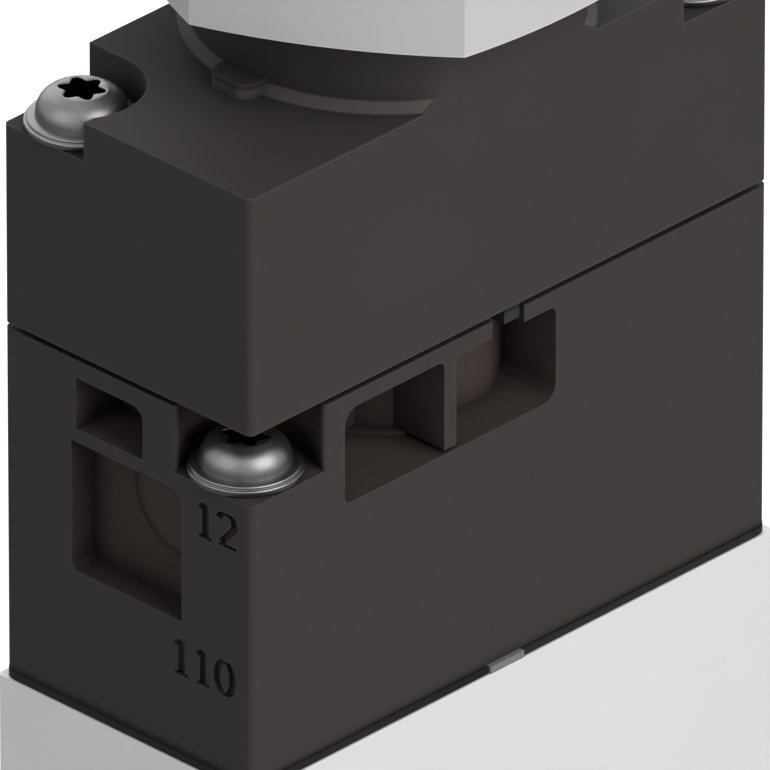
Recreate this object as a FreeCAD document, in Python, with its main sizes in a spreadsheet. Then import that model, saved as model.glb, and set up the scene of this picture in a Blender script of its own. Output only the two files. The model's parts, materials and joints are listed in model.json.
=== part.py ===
import FreeCAD, Part
import math
import os

import Sketcher
from FreeCAD import Vector

# Pushbutton valve. A 3/2-way spool valve in an aluminium body stands on its end cap.
# A pilot stage and an actuator sit on it in two dark moulded housings, and a push
# button comes out of a neck that a hexagonal nut clamps in a panel.
# The origin is the centre of the rest face, +Z runs up the spool's axis to the button,
# X is the long side of the housings and -X carries the numbered face.

DIMENSIONS = {
    # Housings and body, from the rest face up
    "housing_length": 45.4,
    "housing_width": 21.0,
    "housing_edge": 0.45,
    "body_proud": 0.4,
    "body_edge": 0.4,
    "cap_height": 8.0,
    "body_height": 46.0,
    "body_gasket_thickness": 0.5,
    "pilot_height": 23.9,
    "housing_gasket_thickness": 0.35,
    "actuator_height": 16.4,
    "panel_gap": 6.0,
    "nut_height": 7.0,
    "neck_height": 14.0,
    "gasket_inset": 0.9,
    "body_gasket_inset": 0.15,
    "running_gap": 0.06,
    "seat_gap": 0.1,
    "stop_gap": 0.3,
    # Screws
    "screw_end_inset": 3.23,
    "screw_side_inset": 3.58,
    "screw_radius": 1.5,
    "screw_hole_gap": 0.15,
    "flange_radius": 3.6,
    "flange_height": 0.75,
    "dome_radius": 2.88,
    "dome_swell": 1.06,
    "head_flat_radius": 1.65,
    "head_height": 2.5,
    "socket_radius": 1.3,
    "socket_depth": 1.2,
    "screw_grip": 9.0,
    "cap_head_radius": 2.75,
    "cap_head_height": 3.0,
    "cap_head_gap": 0.25,
    "cap_head_sink": 0.4,
    # Ports, passages and fixing holes of the body
    "port_radius": 4.283,
    "port_depth": 8.5,
    "port_chamfer": 0.6,
    "passage_radius": 1.8,
    "port_1_share": 0.23913,
    "port_2_share": 0.41304,
    "port_3_share": 0.6087,
    "channel_height": 4.0,
    "channel_radius": 7.0,
    "fixing_radius": 2.15,
    "fixing_inset": 9.2,
    "fixing_share": 0.08696,
    # Spool, its seals, its piston and its return spring
    "spool_radius": 5.44,
    "waist_radius": 3.0,
    "spool_travel": 3.2,
    "ring_radius": 0.6,
    "ring_room": 0.05,
    "seal_corner": 0.5,
    "land_end": 0.5,
    "stem_radius": 3.2,
    "piston_radius": 8.19,
    "piston_ring_radius": 0.75,
    "piston_spigot_radius": 2.0,
    "piston_spigot_share": 0.47,
    "piston_dish_radius": 5.0,
    "piston_dish_share": 0.215,
    "return_spring_radius": 3.6,
    "return_wire_radius": 0.4,
    "return_turns": 4,
    "return_pocket_depth": 3.5,
    "return_pocket_radius": 4.4,
    "spring_spigot_radius": 2.7,
    "spring_spigot_length": 2.0,
    "cap_ring_radius": 7.6,
    # Pilot stage
    "tower_radius": 7.05,
    "seat_level": 12.0,
    "seat_length": 4.0,
    "seat_outer_radius": 4.54,
    "seat_bore_radius": 1.9,
    "seat_ring_radius": 0.5,
    "retainer_length": 1.5,
    "retainer_bore_radius": 2.6,
    "chamber_radius": 3.9,
    "chamber_depth": 8.5,
    "pilot_passage_radius": 1.0,
    "poppet_radius": 3.3,
    "poppet_height": 1.0,
    "disc_height": 0.8,
    "disc_radius": 2.9,
    "poppet_stem_radius": 1.2,
    "poppet_stem_length": 6.5,
    "poppet_spigot_radius": 1.4,
    "poppet_spigot_length": 2.0,
    "poppet_spring_radius": 2.1,
    "poppet_wire_radius": 0.25,
    "poppet_turns": 4,
    # Corner pockets of the housings
    "pocket_inset": 3.05,
    "pilot_pocket_radius": 4.35,
    "pilot_pocket_depth": 4.55,
    "pilot_pocket_edge": 0.25,
    # Moulded windows of the numbered short face, measured down from the pilot housing's top
    "upper_window_left": 4.37,
    "upper_window_right": 1.33,
    "upper_window_top": 1.25,
    "upper_window_bottom": 4.75,
    "upper_window_depth": 4.0,
    "lower_window_left": 4.8,
    "lower_window_right": 4.6,
    "lower_window_top": 5.72,
    "lower_window_bottom": 14.75,
    "lower_window_depth": 2.1,
    "boss_radius": 4.0,
    "boss_offset": 3.2,
    "boss_down": 7.4,
    "boss_height": 0.6,
    "window_corner": 0.9,
    # Moulded windows of the long face
    "first_window_inset": 8.2,
    "first_window_end": 5.8,
    "first_window_top": 1.1,
    "second_window_start": 4.75,
    "second_window_end": 4.0,
    "second_window_top": 1.15,
    "window_floor": 7.6,
    "window_depth": 6.2,
    "floor_strip": 0.3,
    "large_corner": 1.15,
    "small_corner": 0.48,
    "outer_tower_radius": 8.45,
    "ledge_radius": 9.15,
    "ledge_height": 0.3,
    "slot_start": 1.6,
    "slot_end": 1.2,
    "slot_depth": 3.3,
    "slot_tab_start": 0.25,
    "slot_tab_drop": 1.2,
    "slot_tab_depth": 0.7,
    "gasket_tab_start": 2.08,
    "gasket_tab_end": 0.85,
    # Actuator housing, neck, plunger and button
    "actuator_pocket_radius": 4.45,
    "actuator_pocket_depth": 2.65,
    "actuator_pocket_short": 6.9,
    "neck_radius": 12.2,
    "neck_band": 0.65,
    "lug_width": 3.4,
    "lug_reach": 1.85,
    "lug_height": 1.0,
    "lug_corner": 0.9,
    "guide_radius": 1.68,
    "plunger_ring_radius": 0.6,
    "plunger_ring_level": 2.6,
    "plunger_radius": 1.6,
    "spring_chamber_radius": 7.0,
    "spring_floor": 9.25,
    "bush_radius": 8.8,
    "bush_height": 6.0,
    "stem_bore_radius": 3.08,
    "button_stem_radius": 3.0,
    "plunger_flange_radius": 6.0,
    "plunger_flange_height": 2.1,
    "button_travel": 3.0,
    "button_spring_radius": 4.6,
    "button_wire_radius": 0.5,
    "button_turns": 4,
    "nut_wall": 5.0,
    "nut_bulge": 0.8,
    "nut_edge": 0.4,
    "thread_gap": 0.1,
    "button_radius": 13.5,
    "button_height": 6.6,
    "button_rise": 1.2,
    "button_wall": 1.8,
    "button_hub_radius": 4.4,
    "button_spigot_radius": 2.0,
    "button_spigot_length": 3.6,
}

doc = FreeCAD.newDocument("pushbutton_valve")
sheet = doc.addObject("Spreadsheet::Sheet", "dims")
for row, (alias, value) in enumerate(DIMENSIONS.items(), start=1):
    sheet.set(f"A{row}", alias)
    sheet.set(f"B{row}", str(value))
    sheet.setAlias(f"B{row}", alias)
doc.recompute()


def number(expression):
    """The present value of an expression on the sheet's cells."""
    return float(sheet.evalExpression(expression))


# Levels and places that several pieces share, as expressions on the sheet's cells
CAP_TOP = "dims.cap_height"
BODY_TOP = f"({CAP_TOP} + dims.body_height)"
PILOT_BASE = f"({BODY_TOP} + dims.body_gasket_thickness)"
PILOT_TOP = f"({PILOT_BASE} + dims.pilot_height)"
ACTUATOR_BASE = f"({PILOT_TOP} + dims.housing_gasket_thickness)"
ACTUATOR_TOP = f"({ACTUATOR_BASE} + dims.actuator_height)"
NUT_BASE = f"({ACTUATOR_TOP} + dims.panel_gap)"
NECK_TOP = f"({ACTUATOR_TOP} + dims.neck_height)"
HALF_LENGTH = "(dims.housing_length / 2)"
HALF_WIDTH = "(dims.housing_width / 2)"
HALF_BODY_LENGTH = f"({HALF_LENGTH} + dims.body_proud)"
HALF_BODY_WIDTH = f"({HALF_WIDTH} + dims.body_proud)"
SCREW_X = f"({HALF_LENGTH} - dims.screw_end_inset)"
SCREW_Y = f"({HALF_WIDTH} - dims.screw_side_inset)"
POCKET_X = f"({HALF_LENGTH} - dims.pocket_inset)"
POCKET_Y = f"({HALF_WIDTH} - dims.pocket_inset)"
SCREW_HOLE = "(dims.screw_radius + dims.screw_hole_gap)"
BORE_RADIUS = "(dims.spool_radius + dims.running_gap)"
PISTON_BORE = "(dims.piston_radius + dims.running_gap)"
PORT_1 = f"({CAP_TOP} + dims.port_1_share * dims.body_height)"
PORT_2 = f"({CAP_TOP} + dims.port_2_share * dims.body_height)"
PORT_3 = f"({CAP_TOP} + dims.port_3_share * dims.body_height)"
FIXING_LEVEL = f"({CAP_TOP} + dims.fixing_share * dims.body_height)"
FIXING_X = f"({HALF_LENGTH} - dims.fixing_inset)"
HALF_CHANNEL = "(dims.channel_height / 2)"
RING_HALF = "(dims.ring_radius + dims.ring_room)"
SEAL_LEVELS = [
    f"({PORT_1} - {HALF_CHANNEL} - dims.ring_radius - dims.land_end)",
    f"({PORT_1} + {HALF_CHANNEL} + dims.ring_radius + dims.land_end)",
    f"({PORT_3} - {HALF_CHANNEL} + dims.spool_travel - dims.ring_radius - dims.land_end)",
    f"({PORT_3} + {HALF_CHANNEL} + dims.spool_travel + dims.ring_radius + dims.stop_gap)",
]
LAND_LIP = f"({RING_HALF} + dims.land_end)"
PISTON_FLOOR = f"({SEAL_LEVELS[3]} + {LAND_LIP})"
PISTON_BOTTOM = f"({PISTON_FLOOR} + dims.spool_travel + dims.stop_gap)"
PISTON_TOP = f"({PILOT_BASE} - dims.stop_gap)"
PISTON_HEIGHT = f"({PISTON_TOP} - {PISTON_BOTTOM})"
PISTON_SPIGOT = f"({PISTON_HEIGHT} * dims.piston_spigot_share)"
SPOOL_BOTTOM = f"({SEAL_LEVELS[0]} - {LAND_LIP})"
RETURN_FLOOR = f"({CAP_TOP} - dims.return_pocket_depth)"
SEAT_BASE = f"({PILOT_BASE} + dims.seat_level)"
SEAT_TOP = f"({SEAT_BASE} + dims.seat_length)"
CHAMBER_FLOOR = f"({SEAT_BASE} - dims.chamber_depth)"
UPPER_BORE = "(dims.seat_outer_radius + dims.running_gap)"
DISC_TOP = f"({SEAT_BASE} - dims.seat_gap)"
POPPET_TOP = f"({DISC_TOP} - dims.disc_height)"
POPPET_BASE = f"({POPPET_TOP} - dims.poppet_height)"
POPPET_STEM_TOP = f"({POPPET_TOP} + dims.poppet_stem_length)"
PLUNGER_BASE = f"({POPPET_STEM_TOP} + dims.seat_gap)"
SPRING_FLOOR = f"({ACTUATOR_BASE} + dims.spring_floor)"
BUSH_BASE = f"({NECK_TOP} - dims.bush_height)"
FLANGE_TOP = f"({BUSH_BASE} - dims.stop_gap)"
FLANGE_BASE = f"({FLANGE_TOP} - dims.plunger_flange_height)"
BUTTON_BASE = f"({NECK_TOP} + dims.button_travel + dims.stop_gap)"
WINDOW_FLOOR = f"({PILOT_TOP} - dims.window_floor)"
FIRST_WINDOW_START = f"({HALF_LENGTH} - dims.first_window_inset)"
PLUNGER_RING_LEVEL = f"({ACTUATOR_BASE} + dims.plunger_ring_level)"
PLUNGER_GROOVE_HALF = "(dims.plunger_ring_radius + dims.ring_room)"
PLUNGER_RING_CENTRE = "(dims.plunger_radius + dims.ring_room + dims.plunger_ring_radius)"
PLUNGER_GROOVE_RADIUS = f"({PLUNGER_RING_CENTRE} + dims.plunger_ring_radius + dims.ring_room)"
PILOT_SCREW_SEAT = f"({PILOT_TOP} - dims.pilot_pocket_depth)"
ACTUATOR_SCREW_SEAT = f"({ACTUATOR_TOP} - dims.actuator_pocket_depth)"
LONG_THREAD_END = f"({BODY_TOP} - dims.screw_grip + dims.screw_radius)"

# The four screw corners: the pilot's screws on one diagonal, the actuator's on the other
PILOT_CORNERS = [("-" + SCREW_X, "-" + SCREW_Y), (SCREW_X, SCREW_Y)]
ACTUATOR_CORNERS = [("-" + SCREW_X, SCREW_Y), (SCREW_X, "-" + SCREW_Y)]
ALL_CORNERS = PILOT_CORNERS + ACTUATOR_CORNERS

exported = []


def new_body(label, many=False):
    """A body with the node's name as its label; many is for a group of separate solids."""
    body = doc.addObject("PartDesign::Body", label)
    body.Label = label
    body.AllowCompound = many
    exported.append(body)
    return body


def new_sketch(body, role, level="0", shift_x="0", shift_y="0"):
    """A sketch on one of the body's own planes, moved along the plane's normal to a level."""
    plane = next(entry for entry in body.Origin.OriginFeatures if entry.Role == role)
    sketch = body.newObject("Sketcher::SketchObject", body.Label + "_sketch")
    sketch.AttachmentSupport = [(plane, "")]
    sketch.MapMode = "FlatFace"
    sketch.setExpression("AttachmentOffset.Base.x", shift_x)
    sketch.setExpression("AttachmentOffset.Base.y", shift_y)
    sketch.setExpression("AttachmentOffset.Base.z", level)
    return sketch


def hold(sketch, piece, point, x, y):
    """Holds one point of a sketch where two expressions say."""
    for kind, expression in (("DistanceX", x), ("DistanceY", y)):
        constraint = Sketcher.Constraint(kind, -1, 1, piece, point, number(expression))
        index = sketch.addConstraint(constraint)
        sketch.setExpression(f"Constraints[{index}]", expression)


def arc_through(start, end, radius, side):
    """The short arc from start to end, whose centre lies to the left (1) or right (-1)."""
    chord = end - start
    reach = math.sqrt(max(radius**2 - (chord.Length / 2) ** 2, 0.0))
    normal = Vector(-chord.y, chord.x, 0).normalize()
    centre = (start + end) / 2 + normal * reach * side
    first, last = (start, end) if side > 0 else (end, start)
    low = math.atan2(first.y - centre.y, first.x - centre.x)
    high = math.atan2(last.y - centre.y, last.x - centre.x)
    if high < low:
        high += 2 * math.pi
    return Part.ArcOfCircle(Part.Circle(centre, Vector(0, 0, 1), radius), low, high)


def outline(sketch, corners):
    """One closed outline. A corner is (x, y), or (x, y, radius, side) where an arc follows."""
    places = [Vector(number(corner[0]), number(corner[1]), 0) for corner in corners]
    pieces = []
    for index, corner in enumerate(corners):
        start = places[index]
        end = places[(index + 1) % len(places)]
        if len(corner) == 2:
            piece = sketch.addGeometry(Part.LineSegment(start, end), False)
            pieces.append((piece, 1, 2))
            continue
        side = corner[3]
        piece = sketch.addGeometry(arc_through(start, end, number(corner[2]), side), False)
        pieces.append((piece, 1, 2) if side > 0 else (piece, 2, 1))
    for index, (piece, first, last) in enumerate(pieces):
        following = pieces[(index + 1) % len(pieces)]
        sketch.addConstraint(Sketcher.Constraint("Coincident", piece, last, following[0], following[1]))
        hold(sketch, piece, first, corners[index][0], corners[index][1])
        if len(corners[index]) > 2:
            radius = Sketcher.Constraint("Radius", piece, number(corners[index][2]))
            sketch.setExpression(f"Constraints[{sketch.addConstraint(radius)}]", corners[index][2])
    return sketch


def rectangle(sketch, low_x, low_y, high_x, high_y):
    return outline(sketch, [(low_x, low_y), (high_x, low_y), (high_x, high_y), (low_x, high_y)])


def circles(sketch, radius, centres):
    """Circles of one radius round the given centres."""
    for x, y in centres:
        place = Vector(number(x), number(y), 0)
        piece = sketch.addGeometry(Part.Circle(place, Vector(0, 0, 1), number(radius)), False)
        hold(sketch, piece, 3, x, y)
        index = sketch.addConstraint(Sketcher.Constraint("Radius", piece, number(radius)))
        sketch.setExpression(f"Constraints[{index}]", radius)
    return sketch


def feature(body, kind, sketch, name):
    made = body.newObject("PartDesign::" + kind, f"{body.Label}_{name}")
    made.Profile = sketch
    return made


def add_pad(body, name, sketch, length, side="One side", turned=False):
    """Material along the sketch's normal, or against it where turned."""
    pad = feature(body, "Pad", sketch, name)
    pad.SideType = side
    pad.Reversed = turned
    pad.setExpression("Length", length)
    doc.recompute()
    return pad


def cut_pocket(body, name, sketch, length, turned=False, side="One side"):
    """A cut against the sketch's normal, or along it where turned; it has to remove something."""
    before = body.Shape.Volume
    pocket = feature(body, "Pocket", sketch, name)
    pocket.SideType = side
    pocket.Reversed = turned
    pocket.setExpression("Length", length)
    doc.recompute()
    if not body.Shape.Volume < before:
        raise RuntimeError(f"{body.Label} {name} removes nothing")
    return pocket


def turn(body, name, sketch, kind="Revolution"):
    """A full turn of the sketch about its own upright axis, as material or as a Groove."""
    turned = feature(body, kind, sketch, name)
    turned.ReferenceAxis = (sketch, ["V_Axis"])
    turned.Angle = 360
    doc.recompute()
    return turned


def round_edges(body, name, size, wanted, kind="Fillet"):
    """A fillet or chamfer on the edges for which wanted(edge) is true."""
    base = body.Tip
    names = [f"Edge{i}" for i, edge in enumerate(base.Shape.Edges, start=1) if wanted(edge)]
    if not names:
        raise RuntimeError(f"{body.Label} {name} finds no edge")
    made = body.newObject("PartDesign::" + kind, f"{body.Label}_{name}")
    made.Base = (base, names)
    made.setExpression("Radius" if kind == "Fillet" else "Size", size)
    doc.recompute()
    return made


def middle(edge):
    return edge.valueAt((edge.FirstParameter + edge.LastParameter) / 2)


def runs_along(edge, axis):
    """True for a straight edge parallel to an axis, given as 0, 1 or 2."""
    if edge.Curve.TypeId != "Part::GeomLine":
        return False
    ends = [vertex.Point for vertex in edge.Vertexes]
    span = ends[1] - ends[0]
    return abs(abs(span[axis]) - span.Length) < 1e-6


def is_near(value, expression):
    return abs(value - number(expression)) < 1e-3


def upright_outer(edge, half_length, half_width):
    """True for an upright edge at one of the four outer corners."""
    place = middle(edge)
    return (
        runs_along(edge, 2)
        and is_near(abs(place.x), half_length)
        and is_near(abs(place.y), half_width)
    )


def block(body, half_length, half_width, level, height, edge_size):
    """A rectangular block with rounded upright edges."""
    sketch = rectangle(
        new_sketch(body, "XY_Plane", level),
        "-" + half_length, "-" + half_width, half_length, half_width,
    )
    add_pad(body, "block", sketch, height)
    round_edges(body, "edges", edge_size, lambda e: upright_outer(e, half_length, half_width))


def lathe(label, corners, many=False):
    """A turned piece from its half section of radius and level pairs."""
    body = new_body(label, many)
    turn(body, "section", outline(new_sketch(body, "XZ_Plane"), corners))
    return body


def seal_ring(label, centre_radius, half_size, level):
    """A rubber ring round the valve's axis, square in section with its outer corners taken off."""
    inner = f"({centre_radius} - {half_size})"
    outer = f"({centre_radius} + {half_size})"
    corner = f"{half_size} * dims.seal_corner"
    return lathe(label, [
        (inner, f"{level} - {half_size}"),
        (f"{outer} - {corner}", f"{level} - {half_size}"),
        (outer, f"{level} - {half_size} + {corner}"),
        (outer, f"{level} + {half_size} - {corner}"),
        (f"{outer} - {corner}", f"{level} + {half_size}"),
        (inner, f"{level} + {half_size}"),
    ])


def coil(label, radius, wire_radius, turns, low, high):
    """A compression spring between two levels: a six-sided wire swept along its helix."""
    wire = number(wire_radius)
    centre = number(radius)
    rise = number(high) - number(low) - 2 * wire
    path = Part.makeHelix(rise / number(turns), rise, centre)
    # A corner of the wire points straight up, so that it just reaches both levels
    around = [math.pi / 3 * (corner + 0.5) for corner in range(7)]
    section = [Vector(centre + wire * math.cos(a), 0, wire * math.sin(a)) for a in around]
    spring = doc.addObject("Part::Feature", label)
    spring.Label = label
    spring.Shape = Part.Wire(path).makePipeShell([Part.makePolygon(section)], True, True)
    spring.Placement.Base = Vector(0, 0, number(low) + wire)
    exported.append(spring)
    return spring


def hexagon_socket(body, name, level, x, y, turned=False):
    """A six-sided drive socket, cut from a level into a screw's head."""
    corners = []
    for corner in range(6):
        angle = math.pi / 3 * corner
        px = f"{x} + dims.socket_radius * {math.cos(angle):.6f}"
        py = f"{y} + dims.socket_radius * {math.sin(angle):.6f}"
        corners.append((px, py))
    sketch = outline(new_sketch(body, "XY_Plane", level), corners)
    cut_pocket(body, name, sketch, "dims.socket_depth", turned)


def flanged_screws(label, corners, seat, thread_end):
    """Two screws with a flange, a domed head and a drive socket."""
    body = new_body(label, many=True)
    head_top = f"({seat} + dims.head_height)"
    flange_top = f"({seat} + dims.flange_height)"
    dome = "(dims.dome_radius * dims.dome_swell)"
    for index, (x, y) in enumerate(corners):
        sketch = new_sketch(body, "XZ_Plane", f"-({y})", x)
        section = [
            ("0", thread_end),
            ("dims.screw_radius", thread_end),
            ("dims.screw_radius", seat),
            ("dims.flange_radius", seat),
            ("dims.flange_radius", flange_top),
            ("dims.dome_radius", flange_top, dome, 1),
            ("dims.head_flat_radius", head_top),
            ("0", head_top),
        ]
        turn(body, f"screw_{index}", outline(sketch, section))
    for index, (x, y) in enumerate(corners):
        hexagon_socket(body, f"socket_{index}", head_top, x, y)
    return body


def make_end_cap():
    """Closes the spool bore from below and holds the return spring in a pocket."""
    body = new_body("end_cap")
    block(body, HALF_LENGTH, HALF_WIDTH, "0", CAP_TOP, "dims.housing_edge")
    cut_pocket(
        body, "spring_pocket",
        circles(new_sketch(body, "XY_Plane", CAP_TOP), "dims.return_pocket_radius", [("0", "0")]),
        "dims.return_pocket_depth",
    )
    groove_half = "(dims.ring_radius + dims.ring_room)"
    groove = outline(new_sketch(body, "XZ_Plane"), [
        (f"dims.cap_ring_radius - {groove_half}", f"{CAP_TOP} - 2 * dims.ring_radius"),
        (f"dims.cap_ring_radius + {groove_half}", f"{CAP_TOP} - 2 * dims.ring_radius"),
        (f"dims.cap_ring_radius + {groove_half}", CAP_TOP),
        (f"dims.cap_ring_radius - {groove_half}", CAP_TOP),
    ])
    turn(body, "ring_groove", groove, "Groove")
    cut_pocket(
        body, "screw_holes",
        circles(new_sketch(body, "XY_Plane", CAP_TOP), SCREW_HOLE, ALL_CORNERS), CAP_TOP,
    )
    cut_pocket(
        body, "head_recesses",
        circles(new_sketch(body, "XY_Plane"), "dims.cap_head_radius + dims.cap_head_gap", ALL_CORNERS),
        "dims.cap_head_sink + dims.cap_head_height", turned=True,
    )
    return body


def make_end_cap_screws():
    """Four cylinder-head screws that hold the end cap, sunk into it from below."""
    body = new_body("end_cap_screws", many=True)
    head_base = "dims.cap_head_sink"
    head_top = f"({head_base} + dims.cap_head_height)"
    thread_end = f"({CAP_TOP} + dims.screw_grip - dims.screw_radius)"
    for index, (x, y) in enumerate(ALL_CORNERS):
        sketch = outline(new_sketch(body, "XZ_Plane", f"-({y})", x), [
            ("0", head_base),
            ("dims.cap_head_radius", head_base),
            ("dims.cap_head_radius", head_top),
            ("dims.screw_radius", head_top),
            ("dims.screw_radius", thread_end),
            ("0", thread_end),
        ])
        turn(body, f"screw_{index}", sketch)
    for index, (x, y) in enumerate(ALL_CORNERS):
        hexagon_socket(body, f"socket_{index}", head_base, x, y, turned=True)
    return body


def make_valve_body():
    """Aluminium body: the spool bore with its three channels, the ports and the fixing holes."""
    body = new_body("valve_body")
    block(body, HALF_BODY_LENGTH, HALF_BODY_WIDTH, CAP_TOP, "dims.body_height", "dims.body_edge")
    bore = [("0", CAP_TOP), (BORE_RADIUS, CAP_TOP)]
    for port in (PORT_1, PORT_2, PORT_3):
        bore += [
            (BORE_RADIUS, f"{port} - {HALF_CHANNEL}"),
            ("dims.channel_radius", f"{port} - {HALF_CHANNEL}"),
            ("dims.channel_radius", f"{port} + {HALF_CHANNEL}"),
            (BORE_RADIUS, f"{port} + {HALF_CHANNEL}"),
        ]
    bore += [
        (BORE_RADIUS, PISTON_FLOOR),
        (PISTON_BORE, PISTON_FLOOR),
        (PISTON_BORE, BODY_TOP),
        ("0", BODY_TOP),
    ]
    turn(body, "spool_bore", outline(new_sketch(body, "XZ_Plane"), bore), "Groove")
    ports = [("port_2", "-" + HALF_BODY_LENGTH, PORT_2, True)]
    ports += [("port_1", HALF_BODY_LENGTH, PORT_1, False), ("port_3", HALF_BODY_LENGTH, PORT_3, False)]
    for name, face, level, turned in ports:
        for part_name, radius, length in (
            ("thread", "dims.port_radius", "dims.port_depth"),
            ("passage", "dims.passage_radius", f"{HALF_BODY_LENGTH} - dims.spool_radius"),
        ):
            sketch = circles(new_sketch(body, "YZ_Plane", face), radius, [("0", level)])
            cut_pocket(body, f"{name}_{part_name}", sketch, length, turned)
    round_edges(
        body, "port_mouths", "dims.port_chamfer",
        lambda e: e.Curve.TypeId == "Part::GeomCircle"
        and is_near(e.Curve.Radius, "dims.port_radius")
        and is_near(abs(e.Curve.Center.x), HALF_BODY_LENGTH),
        kind="Chamfer",
    )
    fixing = [("-" + FIXING_X, FIXING_LEVEL), (FIXING_X, FIXING_LEVEL)]
    cut_pocket(
        body, "fixing_holes", circles(new_sketch(body, "XZ_Plane"), "dims.fixing_radius", fixing),
        f"2 * {HALF_BODY_WIDTH}", side="Symmetric",
    )
    for name, level, turned in (("upper_threads", BODY_TOP, False), ("lower_threads", CAP_TOP, True)):
        sketch = circles(new_sketch(body, "XY_Plane", level), SCREW_HOLE, ALL_CORNERS)
        cut_pocket(body, name, sketch, "dims.screw_grip", turned)
    return body


def make_spool():
    """Spool at rest, up: port 2 is open to port 3, and port 1 is shut."""
    groove_radius = "(dims.spool_radius - 2 * dims.ring_radius - dims.ring_room)"

    def grooved(level):
        return [
            ("dims.spool_radius", f"{level} - {RING_HALF}"),
            (groove_radius, f"{level} - {RING_HALF}"),
            (groove_radius, f"{level} + {RING_HALF}"),
            ("dims.spool_radius", f"{level} + {RING_HALF}"),
        ]

    lower_land_top = f"({SEAL_LEVELS[1]} + {LAND_LIP})"
    upper_land_base = f"({SEAL_LEVELS[2]} - {LAND_LIP})"
    spigot_base = f"({SPOOL_BOTTOM} - dims.spring_spigot_length)"
    spigot_top = f"({PISTON_BOTTOM} + {PISTON_SPIGOT})"
    section = [("0", spigot_base), ("dims.spring_spigot_radius", spigot_base)]
    section += [("dims.spring_spigot_radius", SPOOL_BOTTOM), ("dims.spool_radius", SPOOL_BOTTOM)]
    section += grooved(SEAL_LEVELS[0]) + grooved(SEAL_LEVELS[1])
    section += [("dims.spool_radius", lower_land_top), ("dims.waist_radius", lower_land_top)]
    section += [("dims.waist_radius", upper_land_base), ("dims.spool_radius", upper_land_base)]
    section += grooved(SEAL_LEVELS[2]) + grooved(SEAL_LEVELS[3])
    section += [("dims.spool_radius", PISTON_FLOOR), ("dims.stem_radius", PISTON_FLOOR)]
    section += [("dims.stem_radius", PISTON_BOTTOM), ("dims.piston_spigot_radius", PISTON_BOTTOM)]
    section += [("dims.piston_spigot_radius", spigot_top), ("0", spigot_top)]
    return lathe("spool", section)


def make_pilot_piston():
    """Air from the pilot stage pushes this piston and the spool down."""
    ring_level = f"(({PISTON_BOTTOM} + {PISTON_TOP}) / 2)"
    groove_half = "(dims.piston_ring_radius + dims.ring_room)"
    groove_radius = "(dims.piston_radius - 2 * dims.piston_ring_radius - dims.ring_room)"
    socket_radius = "(dims.piston_spigot_radius + dims.running_gap)"
    socket_top = f"({PISTON_BOTTOM} + {PISTON_SPIGOT} + dims.ring_room)"
    dish_floor = f"({PISTON_TOP} - {PISTON_HEIGHT} * dims.piston_dish_share)"
    lathe("pilot_piston", [
        (socket_radius, PISTON_BOTTOM),
        ("dims.piston_radius", PISTON_BOTTOM),
        ("dims.piston_radius", f"{ring_level} - {groove_half}"),
        (groove_radius, f"{ring_level} - {groove_half}"),
        (groove_radius, f"{ring_level} + {groove_half}"),
        ("dims.piston_radius", f"{ring_level} + {groove_half}"),
        ("dims.piston_radius", PISTON_TOP),
        ("dims.piston_dish_radius", PISTON_TOP),
        ("dims.piston_dish_radius", dish_floor),
        ("0", dish_floor),
        ("0", socket_top),
        (socket_radius, socket_top),
    ])
    ring_centre = "dims.piston_radius - dims.piston_ring_radius"
    seal_ring("piston_seal", ring_centre, "dims.piston_ring_radius", ring_level)


def make_body_gasket():
    """Flat gasket under the pilot housing, nearly out to the body's faces, with a tab."""
    body = new_body("body_gasket")
    half_length = f"({HALF_BODY_LENGTH} - dims.body_gasket_inset)"
    half_width = f"({HALF_BODY_WIDTH} - dims.body_gasket_inset)"
    outer = [
        ("-" + half_length, "-" + half_width),
        ("-dims.gasket_tab_start", "-" + half_width),
        ("-dims.gasket_tab_start", "-" + HALF_BODY_WIDTH),
        ("dims.gasket_tab_end", "-" + HALF_BODY_WIDTH),
        ("dims.gasket_tab_end", "-" + half_width),
        (half_length, "-" + half_width),
        (half_length, half_width),
        ("-" + half_length, half_width),
    ]
    sheet_sketch = outline(new_sketch(body, "XY_Plane", BODY_TOP), outer)
    add_pad(body, "sheet", sheet_sketch, "dims.body_gasket_thickness")
    top = PILOT_BASE
    opening = circles(new_sketch(body, "XY_Plane", top), f"{PISTON_BORE} + dims.stop_gap", [("0", "0")])
    cut_pocket(body, "opening", opening, "dims.body_gasket_thickness")
    holes = circles(new_sketch(body, "XY_Plane", top), SCREW_HOLE, ALL_CORNERS)
    cut_pocket(body, "screw_holes", holes, "dims.body_gasket_thickness")
    return body


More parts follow.
